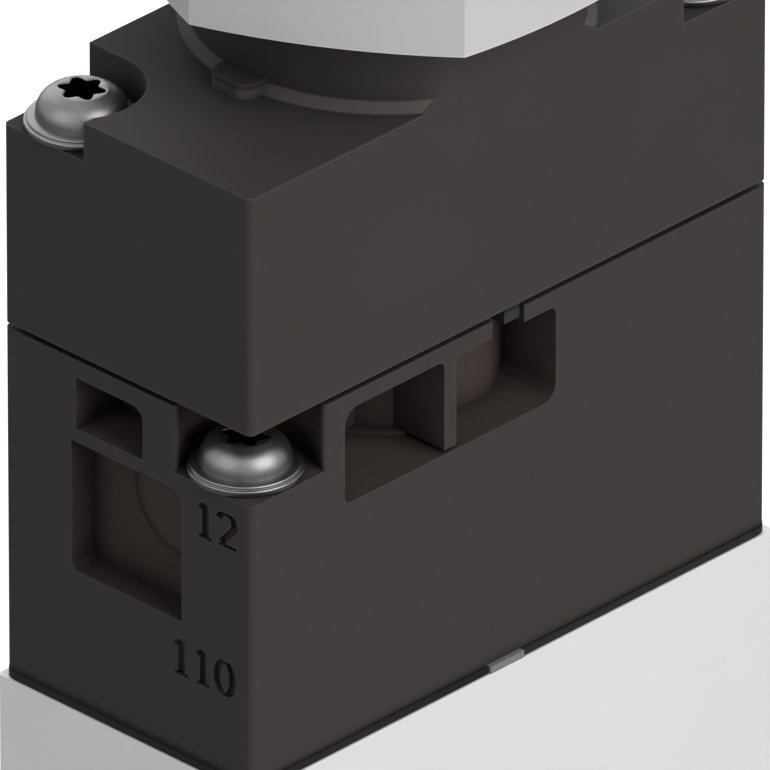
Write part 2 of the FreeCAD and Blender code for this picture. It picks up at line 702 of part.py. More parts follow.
def make_housing_gasket():
    """Flat gasket between the two dark housings, with a tab that hangs into the rim's slot."""
    body = new_body("housing_gasket")
    half_length = f"({HALF_LENGTH} - dims.gasket_inset)"
    half_width = f"({HALF_WIDTH} - dims.gasket_inset)"
    sheet_sketch = rectangle(
        new_sketch(body, "XY_Plane", PILOT_TOP),
        "-" + half_length, "-" + half_width, half_length, half_width,
    )
    add_pad(body, "sheet", sheet_sketch, "dims.housing_gasket_thickness")
    tab = rectangle(
        new_sketch(body, "XY_Plane", ACTUATOR_BASE),
        "-dims.slot_tab_start", f"-{HALF_WIDTH} + dims.stop_gap",
        "dims.slot_end - dims.seat_gap", f"-{half_width} + dims.slot_tab_depth",
    )
    add_pad(body, "tab", tab, "dims.slot_tab_drop", turned=True)
    opening = circles(new_sketch(body, "XY_Plane", ACTUATOR_BASE), UPPER_BORE, [("0", "0")])
    cut_pocket(body, "opening", opening, "dims.housing_gasket_thickness")
    holes = circles(new_sketch(body, "XY_Plane", ACTUATOR_BASE), SCREW_HOLE, ALL_CORNERS)
    cut_pocket(body, "screw_holes", holes, "dims.housing_gasket_thickness")
    # The pilot's screw heads stand in open corners, so the sheet is cut back over them
    for name, sign in (("corner_a", "-"), ("corner_b", "")):
        radius = "(dims.pilot_pocket_radius + dims.gasket_inset)"
        corner = corner_pocket(new_sketch(body, "XY_Plane", ACTUATOR_BASE), sign, sign, radius)
        cut_pocket(body, name, corner, "dims.housing_gasket_thickness")
    return body


def make_pilot_housing():
    """Dark moulded housing of the pilot stage, with its coring windows and two open corners."""
    body = new_body("pilot_housing")
    block(body, HALF_LENGTH, HALF_WIDTH, PILOT_BASE, "dims.pilot_height", "dims.housing_edge")
    cut_short_face_windows(body)
    cut_long_face_windows(body)
    add_bore_towers(body)
    cut_pilot_corners(body)
    bore = [
        ("0", PILOT_BASE),
        ("dims.pilot_passage_radius", PILOT_BASE),
        ("dims.pilot_passage_radius", CHAMBER_FLOOR),
        ("dims.chamber_radius", CHAMBER_FLOOR),
        ("dims.chamber_radius", SEAT_BASE),
        (UPPER_BORE, SEAT_BASE),
        (UPPER_BORE, PILOT_TOP),
        ("0", PILOT_TOP),
    ]
    turn(body, "bore", outline(new_sketch(body, "XZ_Plane"), bore), "Groove")
    holes = circles(new_sketch(body, "XY_Plane", PILOT_TOP), SCREW_HOLE, ALL_CORNERS)
    cut_pocket(body, "screw_holes", holes, "dims.pilot_height")
    return body


def cut_short_face_windows(body):
    """Two coring windows in the numbered face; the lower one shows the end of a round boss."""
    face = "-" + HALF_LENGTH
    upper = rectangle(
        new_sketch(body, "YZ_Plane", face),
        "-dims.upper_window_right", f"{PILOT_TOP} - dims.upper_window_bottom",
        "dims.upper_window_left", f"{PILOT_TOP} - dims.upper_window_top",
    )
    cut_pocket(body, "upper_window", upper, "dims.upper_window_depth", turned=True)
    lower = rectangle(
        new_sketch(body, "YZ_Plane", face),
        "-dims.lower_window_right", f"{PILOT_TOP} - dims.lower_window_bottom",
        "dims.lower_window_left", f"{PILOT_TOP} - dims.lower_window_top",
    )
    cut_pocket(body, "lower_window", lower, "dims.lower_window_depth", turned=True)

    def at_corner(edge, side, drop):
        place = middle(edge)
        if not runs_along(edge, 0) or place.x > number(face) + number("dims.upper_window_depth"):
            return False
        return is_near(place.y, side) and is_near(place.z, f"{PILOT_TOP} - {drop}")

    def right_top(edge):
        return at_corner(edge, "-dims.upper_window_right", "dims.upper_window_top") or at_corner(
            edge, "-dims.lower_window_right", "dims.lower_window_top"
        )

    def left_bottom(edge):
        return at_corner(edge, "dims.lower_window_left", "dims.lower_window_bottom")

    round_edges(body, "right_corners", "dims.window_corner", right_top)
    round_edges(body, "left_corner", "dims.small_corner", left_bottom)
    boss = circles(
        new_sketch(body, "YZ_Plane", f"{face} + dims.lower_window_depth - dims.boss_height"),
        "dims.boss_radius", [("-dims.boss_offset", f"{PILOT_TOP} - dims.boss_down")],
    )
    add_pad(body, "boss", boss, "dims.boss_height + dims.stop_gap")


def cut_long_face_windows(body):
    """Two coring windows in the long face, with a thin rib between and a slot up to the seam."""
    face = HALF_WIDTH
    windows = (
        ("first", "-" + FIRST_WINDOW_START, "-dims.first_window_end", "dims.first_window_top"),
        ("second", "-dims.second_window_start", "dims.second_window_end", "dims.second_window_top"),
    )
    for name, start, end, top in windows:
        sketch = rectangle(
            new_sketch(body, "XZ_Plane", face), start, WINDOW_FLOOR, end, f"{PILOT_TOP} - {top}"
        )
        cut_pocket(body, name + "_window", sketch, "dims.window_depth")

    def large_corner(edge):
        place = middle(edge)
        if not runs_along(edge, 1) or place.y > 0:
            return False
        at_start = is_near(place.x, "-" + FIRST_WINDOW_START) and is_near(
            place.z, f"{PILOT_TOP} - dims.first_window_top"
        )
        at_end = is_near(place.x, "dims.second_window_end") and is_near(place.z, WINDOW_FLOOR)
        return at_start or at_end

    def small_corner(edge):
        place = middle(edge)
        if not runs_along(edge, 1) or place.y > 0:
            return False
        at_first_end = is_near(place.x, "-dims.first_window_end") and is_near(
            place.z, f"{PILOT_TOP} - dims.first_window_top"
        )
        at_first_floor = is_near(place.x, "-" + FIRST_WINDOW_START) and is_near(place.z, WINDOW_FLOOR)
        in_second = any(
            is_near(place.x, side) for side in ("-dims.second_window_start", "dims.second_window_end")
        ) and is_near(place.z, f"{PILOT_TOP} - dims.second_window_top")
        return at_first_end or at_first_floor or in_second

    round_edges(body, "large_corners", "dims.large_corner", large_corner)
    round_edges(body, "small_corners", "dims.small_corner", small_corner)
    strip = rectangle(
        new_sketch(body, "XZ_Plane", face),
        "-dims.first_window_end - dims.window_corner", WINDOW_FLOOR,
        "-dims.second_window_start + dims.window_corner", f"{WINDOW_FLOOR} + dims.floor_strip",
    )
    cut_pocket(body, "floor_strip", strip, "dims.slot_depth")
    slot = rectangle(
        new_sketch(body, "XZ_Plane", face),
        "-dims.slot_start", f"{PILOT_TOP} - 2 * dims.second_window_top", "dims.slot_end", PILOT_TOP,
    )
    cut_pocket(body, "slot", slot, "dims.slot_depth")


def add_bore_towers(body):
    """The round towers behind the long face's windows, about the pilot bore's axis."""
    height = f"{PILOT_TOP} - {WINDOW_FLOOR}"
    inner = circles(new_sketch(body, "XY_Plane", WINDOW_FLOOR), "dims.tower_radius", [("0", "0")])
    add_pad(body, "tower", inner, height)
    window_end = "dims.first_window_end"
    back = f"({HALF_WIDTH} - dims.window_depth - dims.stop_gap)"
    for name, radius, rise in (
        ("outer_tower", "dims.outer_tower_radius", height),
        ("ledge", "dims.ledge_radius", "dims.ledge_height"),
    ):
        near_y = f"-sqrt({radius} ^ 2 - {window_end} ^ 2)"
        far_x = f"-sqrt({radius} ^ 2 - {back} ^ 2)"
        sector = outline(new_sketch(body, "XY_Plane", WINDOW_FLOOR), [
            (far_x, "-" + back, radius, 1),
            ("-" + window_end, near_y),
            ("-" + window_end, "-" + back),
        ])
        add_pad(body, name, sector, rise)


def corner_pocket(sketch, x_sign, y_sign, radius):
    """A round pocket about a screw, open to both faces of its corner."""
    wall_x = f"({POCKET_X} - sqrt({radius} ^ 2 - dims.pocket_inset ^ 2))"
    wall_y = f"({POCKET_Y} - sqrt({radius} ^ 2 - dims.pocket_inset ^ 2))"
    middle_x = f"({POCKET_X} - {radius} * sqrt(0.5))"
    middle_y = f"({POCKET_Y} - {radius} * sqrt(0.5))"
    side = -1 if x_sign == y_sign else 1
    return outline(sketch, [
        (f"{x_sign}{HALF_LENGTH}", f"{y_sign}{wall_y}", radius, side),
        (f"{x_sign}{middle_x}", f"{y_sign}{middle_y}", radius, side),
        (f"{x_sign}{wall_x}", f"{y_sign}{HALF_WIDTH}"),
        (f"{x_sign}{HALF_LENGTH}", f"{y_sign}{HALF_WIDTH}"),
    ])


def cut_pilot_corners(body):
    """The two open corners in which the pilot's screw heads sit, with softened mouths."""
    radius = "dims.pilot_pocket_radius"
    for name, sign in (("corner_a", "-"), ("corner_b", "")):
        sketch = corner_pocket(new_sketch(body, "XY_Plane", PILOT_TOP), sign, sign, radius)
        cut_pocket(body, name, sketch, "dims.pilot_pocket_depth")
    wall = f"sqrt({radius} ^ 2 - dims.pocket_inset ^ 2)"

    def mouth(edge):
        place = middle(edge)
        at_end = is_near(abs(place.x), HALF_LENGTH) and is_near(abs(place.y), f"{POCKET_Y} - {wall}")
        at_side = is_near(abs(place.y), HALF_WIDTH) and is_near(abs(place.x), f"{POCKET_X} - {wall}")
        return runs_along(edge, 2) and (at_end or at_side)

    round_edges(body, "mouths", "dims.pilot_pocket_edge", mouth)


def make_pilot_stage():
    """Seat, poppet and spring of the pilot valve, from the retainer down."""
    groove_half = "(dims.seat_ring_radius + dims.ring_room)"
    groove_radius = "(dims.seat_outer_radius - 2 * dims.seat_ring_radius - dims.ring_room)"
    ring_level = f"(({SEAT_BASE} + {SEAT_TOP}) / 2)"
    lathe("pilot_seat", [
        ("dims.seat_bore_radius", SEAT_BASE),
        ("dims.seat_outer_radius", SEAT_BASE),
        ("dims.seat_outer_radius", f"{ring_level} - {groove_half}"),
        (groove_radius, f"{ring_level} - {groove_half}"),
        (groove_radius, f"{ring_level} + {groove_half}"),
        ("dims.seat_outer_radius", f"{ring_level} + {groove_half}"),
        ("dims.seat_outer_radius", SEAT_TOP),
        ("dims.seat_bore_radius", SEAT_TOP),
    ])
    ring_centre = "dims.seat_outer_radius - dims.seat_ring_radius"
    seal_ring("seat_seal", ring_centre, "dims.seat_ring_radius", ring_level)
    retainer_top = f"({SEAT_TOP} + dims.retainer_length)"
    lathe("seat_retainer", [
        ("dims.retainer_bore_radius", SEAT_TOP),
        ("dims.seat_outer_radius", SEAT_TOP),
        ("dims.seat_outer_radius", retainer_top),
        ("dims.retainer_bore_radius", retainer_top),
    ])
    spigot_base = f"({POPPET_BASE} - dims.poppet_spigot_length)"
    lathe("pilot_poppet", [
        ("0", spigot_base),
        ("dims.poppet_spigot_radius", spigot_base),
        ("dims.poppet_spigot_radius", POPPET_BASE),
        ("dims.poppet_radius", POPPET_BASE),
        ("dims.poppet_radius", POPPET_TOP),
        ("dims.poppet_stem_radius", POPPET_TOP),
        ("dims.poppet_stem_radius", POPPET_STEM_TOP),
        ("0", POPPET_STEM_TOP),
    ])
    disc_bore = "(dims.poppet_stem_radius + dims.running_gap)"
    lathe("poppet_disc", [
        (disc_bore, POPPET_TOP),
        ("dims.disc_radius", POPPET_TOP),
        ("dims.disc_radius", DISC_TOP),
        (disc_bore, DISC_TOP),
    ])
    coil(
        "poppet_spring", "dims.poppet_spring_radius", "dims.poppet_wire_radius",
        "dims.poppet_turns", CHAMBER_FLOOR, POPPET_BASE,
    )


def make_actuator_housing():
    """Dark housing over the pilot stage, with the neck that goes through a panel."""
    body = new_body("actuator_housing")
    block(body, HALF_LENGTH, HALF_WIDTH, ACTUATOR_BASE, "dims.actuator_height", "dims.housing_edge")
    band_radius = "(dims.neck_radius + dims.neck_band)"
    neck = outline(new_sketch(body, "XZ_Plane"), [
        ("0", ACTUATOR_TOP),
        (band_radius, ACTUATOR_TOP),
        ("dims.neck_radius", f"{ACTUATOR_TOP} + dims.neck_band"),
        ("dims.neck_radius", NECK_TOP),
        ("0", NECK_TOP),
    ])
    turn(body, "neck", neck)
    for name, sign in (("near_flat", "-"), ("far_flat", "")):
        beyond = f"{sign}({HALF_WIDTH} + dims.neck_radius)"
        flat = rectangle(
            new_sketch(body, "XY_Plane", NECK_TOP),
            f"-{band_radius}", f"{sign}{HALF_WIDTH}", band_radius, beyond,
        )
        cut_pocket(body, name, flat, "dims.neck_height")
    add_lug(body)
    bore = [
        ("0", ACTUATOR_BASE),
        ("dims.guide_radius", ACTUATOR_BASE),
        ("dims.guide_radius", f"{PLUNGER_RING_LEVEL} - {PLUNGER_GROOVE_HALF}"),
        (PLUNGER_GROOVE_RADIUS, f"{PLUNGER_RING_LEVEL} - {PLUNGER_GROOVE_HALF}"),
        (PLUNGER_GROOVE_RADIUS, f"{PLUNGER_RING_LEVEL} + {PLUNGER_GROOVE_HALF}"),
        ("dims.guide_radius", f"{PLUNGER_RING_LEVEL} + {PLUNGER_GROOVE_HALF}"),
        ("dims.guide_radius", SPRING_FLOOR),
        ("dims.spring_chamber_radius", SPRING_FLOOR),
        ("dims.spring_chamber_radius", BUSH_BASE),
        ("dims.bush_radius + dims.running_gap", BUSH_BASE),
        ("dims.bush_radius + dims.running_gap", NECK_TOP),
        ("0", NECK_TOP),
    ]
    turn(body, "bore", outline(new_sketch(body, "XZ_Plane"), bore), "Groove")
    cut_actuator_corners(body)
    return body


def add_lug(body):
    """The small locating lug at the foot of the neck, on the numbered side, with round corners."""
    front = "-(dims.neck_radius + dims.lug_reach)"
    inner = "-(dims.neck_radius - dims.neck_band)"
    half = "(dims.lug_width / 2)"
    sketch = rectangle(new_sketch(body, "XY_Plane", ACTUATOR_TOP), front, "-" + half, inner, half)
    add_pad(body, "lug", sketch, "dims.lug_height")
    round_edges(
        body, "lug_corners", "dims.lug_corner",
        lambda e: runs_along(e, 2) and is_near(middle(e).x, front),
    )


def cut_actuator_corners(body):
    """Round-cornered pockets and through holes for the two long screws."""
    depth = "dims.actuator_pocket_depth"
    radius = "dims.actuator_pocket_radius"
    inner_y = f"({HALF_WIDTH} - dims.actuator_pocket_short)"
    drop = f"({POCKET_Y} - {inner_y})"
    reach = f"({POCKET_X} + sqrt({radius} ^ 2 - {drop} ^ 2))"
    for name, x_sign, y_sign, side in (("corner_a", "-", "", -1), ("corner_b", "", "-", -1)):
        sketch = outline(new_sketch(body, "XY_Plane", ACTUATOR_TOP), [
            (f"{x_sign}({POCKET_X} - {radius})", f"{y_sign}{HALF_WIDTH}"),
            (f"{x_sign}({POCKET_X} - {radius})", f"{y_sign}{POCKET_Y}", radius, side),
            (f"{x_sign}{reach}", f"{y_sign}{inner_y}"),
            (f"{x_sign}{HALF_LENGTH}", f"{y_sign}{inner_y}"),
            (f"{x_sign}{HALF_LENGTH}", f"{y_sign}{HALF_WIDTH}"),
        ])
        cut_pocket(body, name, sketch, depth)
    holes = circles(new_sketch(body, "XY_Plane", ACTUATOR_TOP), SCREW_HOLE, ACTUATOR_CORNERS)
    cut_pocket(body, "screw_holes", holes, "dims.actuator_height")


def make_plunger():
    """Rod from the button down to the pilot poppet, held in by its flange under the bush."""
    spigot_top = f"({BUTTON_BASE} + dims.button_spigot_length)"
    return lathe("plunger", [
        ("0", PLUNGER_BASE),
        ("dims.plunger_radius", PLUNGER_BASE),
        ("dims.plunger_radius", FLANGE_BASE),
        ("dims.plunger_flange_radius", FLANGE_BASE),
        ("dims.plunger_flange_radius", FLANGE_TOP),
        ("dims.button_stem_radius", FLANGE_TOP),
        ("dims.button_stem_radius", BUTTON_BASE),
        ("dims.button_spigot_radius", BUTTON_BASE),
        ("dims.button_spigot_radius", spigot_top),
        ("0", spigot_top),
    ])


def make_guide_bush():
    """Bush that closes the neck and guides the button's stem."""
    return lathe("guide_bush", [
        ("dims.stem_bore_radius", BUSH_BASE),
        ("dims.bush_radius", BUSH_BASE),
        ("dims.bush_radius", NECK_TOP),
        ("dims.stem_bore_radius", NECK_TOP),
    ])


def make_panel_nut():
    """Hexagonal nut with bulged sides that clamps the panel against the housing."""
    body = new_body("panel_nut")
    corner_radius = "(dims.neck_radius + dims.nut_wall)"
    side_radius = f"(({corner_radius} ^ 2 / 4 + dims.nut_bulge ^ 2) / (2 * dims.nut_bulge))"
    corners = []
    for corner in range(6):
        angle = math.pi / 3 * corner
        x = f"{corner_radius} * {math.cos(angle):.6f}"
        y = f"{corner_radius} * {math.sin(angle):.6f}"
        corners.append((x, y, side_radius, 1))
    hexagon = outline(new_sketch(body, "XY_Plane", NUT_BASE), corners)
    add_pad(body, "hexagon", hexagon, "dims.nut_height")
    bore_radius = "dims.neck_radius + dims.thread_gap"
    bore = circles(new_sketch(body, "XY_Plane", NUT_BASE), bore_radius, [("0", "0")])
    cut_pocket(body, "bore", bore, "dims.nut_height", turned=True)
    top = f"{NUT_BASE} + dims.nut_height"

    def side_edge(edge):
        return is_near(middle(edge).z, top) and not is_near(edge.Curve.Radius, bore_radius)

    round_edges(body, "top_edge", "dims.nut_edge", side_edge)
    return body


def make_push_button():
    """Mushroom button, hollow from below round the hub that takes the stem's spigot."""
    top = f"({BUTTON_BASE} + dims.button_height)"
    shoulder = f"({top} - dims.button_rise)"
    edge = "(dims.button_rise)"
    inner_top = f"({top} - dims.button_rise - dims.button_wall)"
    socket_radius = "(dims.button_spigot_radius + dims.running_gap)"
    socket_top = f"({BUTTON_BASE} + dims.button_spigot_length + dims.ring_room)"
    skirt_inner = "(dims.button_radius - dims.button_wall)"
    return lathe("push_button", [
        ("0", socket_top),
        (socket_radius, socket_top),
        (socket_radius, BUTTON_BASE),
        ("dims.button_hub_radius", BUTTON_BASE),
        ("dims.button_hub_radius", inner_top),
        (skirt_inner, inner_top),
        (skirt_inner, BUTTON_BASE),
        ("dims.button_radius", BUTTON_BASE),
        ("dims.button_radius", shoulder, edge, 1),
        (f"dims.button_radius - {edge}", top),
        ("0", top),
    ])


def make_all():
    """Every piece, from the end cap up; a piece's label is its name in the assembly."""
    make_end_cap()
    seal_ring(
        "end_cap_seal", "dims.cap_ring_radius", "dims.ring_radius",
        f"{CAP_TOP} - dims.ring_radius",
    )
    make_end_cap_screws()
    make_valve_body()
    make_spool()
    spool_ring_centre = "dims.spool_radius - dims.ring_radius"
    for seal, level in enumerate(SEAL_LEVELS, start=1):
        seal_ring(f"spool_seal_{seal}", spool_ring_centre, "dims.ring_radius", level)
    coil(
        "return_spring", "dims.return_spring_radius", "dims.return_wire_radius",
        "dims.return_turns", RETURN_FLOOR, SPOOL_BOTTOM,
    )
    make_pilot_piston()
    make_body_gasket()
    make_pilot_housing()
    make_pilot_stage()
    make_housing_gasket()
    make_actuator_housing()
    seal_ring(
        "plunger_seal", PLUNGER_RING_CENTRE, "dims.plunger_ring_radius", PLUNGER_RING_LEVEL
    )
    make_plunger()
    coil(
        "button_spring", "dims.button_spring_radius", "dims.button_wire_radius",
        "dims.button_turns", SPRING_FLOOR, FLANGE_BASE,
    )
    make_guide_bush()
    make_panel_nut()
    make_push_button()
    flanged_screws("pilot_screws", PILOT_CORNERS, PILOT_SCREW_SEAT, LONG_THREAD_END)
    flanged_screws("actuator_screws", ACTUATOR_CORNERS, ACTUATOR_SCREW_SEAT, LONG_THREAD_END)


make_all()
doc.recompute()

failed = [entry.Name for entry in doc.Objects if "Invalid" in entry.State or "Error" in entry.State]
if failed:
    raise RuntimeError(f"these objects did not build: {failed}")
for piece in exported:
    if piece.Shape.isNull() or not piece.Shape.isValid() or not piece.Shape.Solids:
        raise RuntimeError(f"{piece.Label} has no valid solid")

os.makedirs("parts", exist_ok=True)
for piece in exported:
    piece.Shape.exportStep(f"parts/{piece.Label}.step")
    print(f"{piece.Label}: {len(piece.Shape.Solids)} solid, {piece.Shape.Volume:.1f} mm3")
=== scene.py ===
import json
import math

import bmesh
import bpy
import numpy as np
from mathutils import Matrix, Vector

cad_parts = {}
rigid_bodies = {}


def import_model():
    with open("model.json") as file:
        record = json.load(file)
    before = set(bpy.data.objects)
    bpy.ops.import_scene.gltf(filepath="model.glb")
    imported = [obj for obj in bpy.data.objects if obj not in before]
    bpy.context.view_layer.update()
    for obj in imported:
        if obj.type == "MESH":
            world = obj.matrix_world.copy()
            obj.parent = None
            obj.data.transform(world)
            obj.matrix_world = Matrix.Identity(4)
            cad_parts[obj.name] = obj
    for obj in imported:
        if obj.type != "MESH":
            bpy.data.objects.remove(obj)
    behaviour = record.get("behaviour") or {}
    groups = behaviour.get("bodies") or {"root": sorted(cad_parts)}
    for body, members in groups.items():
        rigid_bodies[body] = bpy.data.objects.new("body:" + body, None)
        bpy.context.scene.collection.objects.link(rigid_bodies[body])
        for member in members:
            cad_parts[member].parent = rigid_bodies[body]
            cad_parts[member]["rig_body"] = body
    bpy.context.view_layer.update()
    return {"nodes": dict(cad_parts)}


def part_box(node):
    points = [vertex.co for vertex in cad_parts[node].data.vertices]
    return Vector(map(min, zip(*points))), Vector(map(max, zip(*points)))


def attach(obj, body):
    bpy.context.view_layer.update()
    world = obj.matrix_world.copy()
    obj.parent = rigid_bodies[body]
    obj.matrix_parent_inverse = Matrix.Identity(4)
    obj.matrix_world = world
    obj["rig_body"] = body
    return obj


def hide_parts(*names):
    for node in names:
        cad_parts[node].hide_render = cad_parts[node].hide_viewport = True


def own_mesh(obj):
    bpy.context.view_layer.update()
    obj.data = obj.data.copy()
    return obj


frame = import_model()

# Looks of an upright pneumatic pushbutton valve: two dark moulded housings on a light metal
# body, a hexagonal panel nut round the neck and a mushroom button above it.
# Everything is in metres in the frame of the solids: +Z up, -X the numbered face.

MM = 0.001


# Where the solids are

def low(node):
    """The lowest corner of a node's box."""
    return np.array(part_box(node)[0])


def high(node):
    """The highest corner of a node's box."""
    return np.array(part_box(node)[1])


# Shader values and materials

class Value:
    """A shader socket's value; arithmetic on it adds the Math nodes that work it out."""

    def __init__(self, finish, socket):
        self.finish = finish
        self.socket = socket

    def math(self, operation, *others):
        sockets = {0: self}
        sockets.update({index: other for index, other in enumerate(others, start=1)})
        return self.finish.node("ShaderNodeMath", {"operation": operation}, sockets)

    def __add__(self, other):
        return self.math("ADD", other)

    def __sub__(self, other):
        return self.math("SUBTRACT", other)

    def __rsub__(self, other):
        return self.math("MULTIPLY", -1.0).math("ADD", other)

    def __mul__(self, other):
        return self.math("MULTIPLY", other)

    def __truediv__(self, other):
        return self.math("DIVIDE", other)

    def __pow__(self, other):
        return self.math("POWER", other)

    __radd__ = __add__
    __rmul__ = __mul__

    def clamped(self):
        """The value held between 0 and 1."""
        return self.math("MAXIMUM", 0.0).math("MINIMUM", 1.0)


EDGE_SAMPLES = 6
EDGE_CONTRAST = 6.0
CREVICE_SAMPLES = 8
MIX_FIRST, MIX_SECOND, MIX_COLOUR = 6, 7, 2
ATTRIBUTE_NUMBER = 2


class Finish:
    """One material: a Principled shader, the nodes behind it and their links."""

    def __init__(self, name, **constants):
        self.material = bpy.data.materials.new(name)
        self.material.use_nodes = True
        self.tree = self.material.node_tree
        self.shader = self.tree.nodes["Principled BSDF"]
        for socket, value in constants.items():
            self.set(socket.replace("_", " "), value)
        self.place = self.node("ShaderNodeTexCoord", output="Object")

    def node(self, kind, settings=None, sockets=None, output=0):
        """Adds a node, makes its settings, then gives its sockets their values or links."""
        made = self.tree.nodes.new(kind)
        for key, value in (settings or {}).items():
            setattr(made, key, value)
        for key, value in (sockets or {}).items():
            self.feed(made.inputs[key], value)
        return Value(self, made.outputs[output])

    def feed(self, target, value):
        """Links a value to a socket, or sets the socket to a plain number or colour."""
        if isinstance(value, Value):
            self.tree.links.new(value.socket, target)
        else:
            target.default_value = value

    def set(self, socket, value):
        """Feeds one of the Principled shader's own sockets."""
        self.feed(self.shader.inputs[socket], value)

    def noise(self, size, detail=3.0, roughness=0.55, stretch=None):
        """Noise from 0 to 1 with features of about that size; stretch squeezes it along axes."""
        place = self.place
        if stretch:
            place = self.node("ShaderNodeMapping", None, {"Vector": place, "Scale": stretch})
        sockets = {"Vector": place, "Scale": 1 / size, "Detail": detail, "Roughness": roughness}
        return self.node("ShaderNodeTexNoise", {"noise_dimensions": "3D"}, sockets)

    def between(self, mask, dark, light):
        """A colour from dark to light as the mask goes from 0 to 1."""
        return self.mixed(mask, (*dark, 1.0), (*light, 1.0))

    def axis(self, index):
        """One of the Object coordinates."""
        return self.node("ShaderNodeSeparateXYZ", None, {0: self.place}, output=index)

    def within(self, index, lowest, highest, blur):
        """1 between two places along an axis, falling to 0 over the blur on either side."""
        place = self.axis(index)
        return ((place - lowest) / blur).clamped() * ((highest - place) / blur).clamped()

    def attribute(self, name):
        """A number that the mesh carries at its points."""
        return self.node("ShaderNodeAttribute", {"attribute_name": name}, output=ATTRIBUTE_NUMBER)

    def mixed(self, mask, first, second):
        """The first colour where the mask is 0 and the second where it is 1."""
        sockets = {0: mask, MIX_FIRST: first, MIX_SECOND: second}
        return self.node("ShaderNodeMix", {"data_type": "RGBA"}, sockets, MIX_COLOUR)

    def edges(self, radius):
        """1 on sharp edges, where the rounded normal departs from the true one, else 0."""
        soft = self.node("ShaderNodeBevel", {"samples": EDGE_SAMPLES}, {"Radius": radius})
        true = self.node("ShaderNodeNewGeometry", output="Normal")
        dot = self.node("ShaderNodeVectorMath", {"operation": "DOT_PRODUCT"}, {0: soft, 1: true}, 1)
        return ((1.0 - dot) * EDGE_CONTRAST).clamped()

    def crevices(self, reach):
        """1 in the open, falling towards 0 where walls closer than the reach shut out the sky."""
        settings = {"samples": CREVICE_SAMPLES}
        return self.node("ShaderNodeAmbientOcclusion", settings, {"Distance": reach}, 1)

    def grain(self, height, depth):
        """A Bump node on the shader's normal."""
        sockets = {"Height": height, "Distance": depth, "Strength": 1.0}
        self.set("Normal", self.node("ShaderNodeBump", None, sockets))


# Moulded plastic

HOUSING_DARK = (0.040, 0.036, 0.034)
HOUSING_LIGHT = (0.048, 0.043, 0.041)
PLASTIC_GLOSS = 0.08
MOTTLE_SIZE = 9 * MM
MOTTLE_SHARE = 0.7
GRAIN_SHARE = 0.3
# Edge wear and painted highlight on the small rounds: width, and how much the light tone is raised.
EDGE_WEAR_AND_HIGHLIGHT_WIDTH = 0.22 * MM
EDGE_WEAR_AND_HIGHLIGHT_PALER = 1.9
# Painted shade in crevices: its reach, its falloff and the share of the dark tone.
CREVICE_REACH = 1.6 * MM
CREVICE_POWER = 0.9
CREVICE_SHADE_SHARE = 0.3

# Browner and lighter than the outer faces: a tint, partly painted light inside the windows.
WINDOW_TINT_AND_LIGHT_COLOUR = (0.058, 0.045, 0.041)
SKIN = 0.16 * MM
SKIN_BLUR = 0.1 * MM

SHADE_COLOUR = (0.010, 0.008, 0.007)
WINDOW_DEPTH = 2.3 * MM
WINDOW_HALF_WIDTH = 4.9 * MM
WINDOW_HEAD_DOWN = 5.7 * MM
WINDOW_FOOT_DOWN = 14.85 * MM
WINDOW_BLUR = 0.05 * MM
WINDOW_SHADE = 0.25
BOSS_ASIDE = 3.2 * MM
BOSS_DOWN = 7.4 * MM
BOSS_RADIUS = 4.0 * MM
CRESCENT_GAP = 0.08 * MM
CRESCENT_WIDTH = 0.65 * MM
CRESCENT_SHADE = 0.7

NECK_HEIGHT = 14 * MM
BAND_FOOT = 0.04 * MM
BAND_HEAD = 0.62 * MM
BAND_BLUR = 0.03 * MM


def beneath_the_skin(finish):
    """1 deeper than a skin's thickness behind the pilot housing's four upright faces."""
    lowest, highest = low("pilot_housing"), high("pilot_housing")
    mask = finish.within(0, lowest[0] + SKIN, highest[0] - SKIN, SKIN_BLUR)
    return mask * finish.within(1, lowest[1] + SKIN, highest[1] - SKIN, SKIN_BLUR)


def lower_window_shade(finish):
    """0 to 1 in the short face's lower window: a little all over, most round the boss's foot."""
    face, top = low("pilot_housing")[0], high("pilot_housing")[2]
    foot, head = top - WINDOW_FOOT_DOWN, top - WINDOW_HEAD_DOWN
    hollow = finish.within(0, face + SKIN, face + WINDOW_DEPTH, WINDOW_BLUR)
    hollow = hollow * finish.within(2, foot, head, WINDOW_BLUR)
    hollow = hollow * finish.within(1, -WINDOW_HALF_WIDTH, WINDOW_HALF_WIDTH, WINDOW_BLUR)
    across = finish.axis(1) + BOSS_ASIDE
    upwards = finish.axis(2) - (top - BOSS_DOWN)
    distance = (across * across + upwards * upwards) ** 0.5
    beside = (distance - BOSS_RADIUS - CRESCENT_GAP).math("ABSOLUTE") / CRESCENT_WIDTH
    return hollow * ((1.0 - beside).clamped() * CRESCENT_SHADE + WINDOW_SHADE)


def neck_band_light(finish):
    """1 on the sloping band at the neck's foot, which is made lighter there as painted light."""
    lowest, highest = low("actuator_housing"), high("actuator_housing")
    foot = highest[2] - NECK_HEIGHT
    mask = finish.within(2, foot + BAND_FOOT, foot + BAND_HEAD, BAND_BLUR)
    return mask * finish.within(1, lowest[1] + SKIN, highest[1] - SKIN, BAND_BLUR)


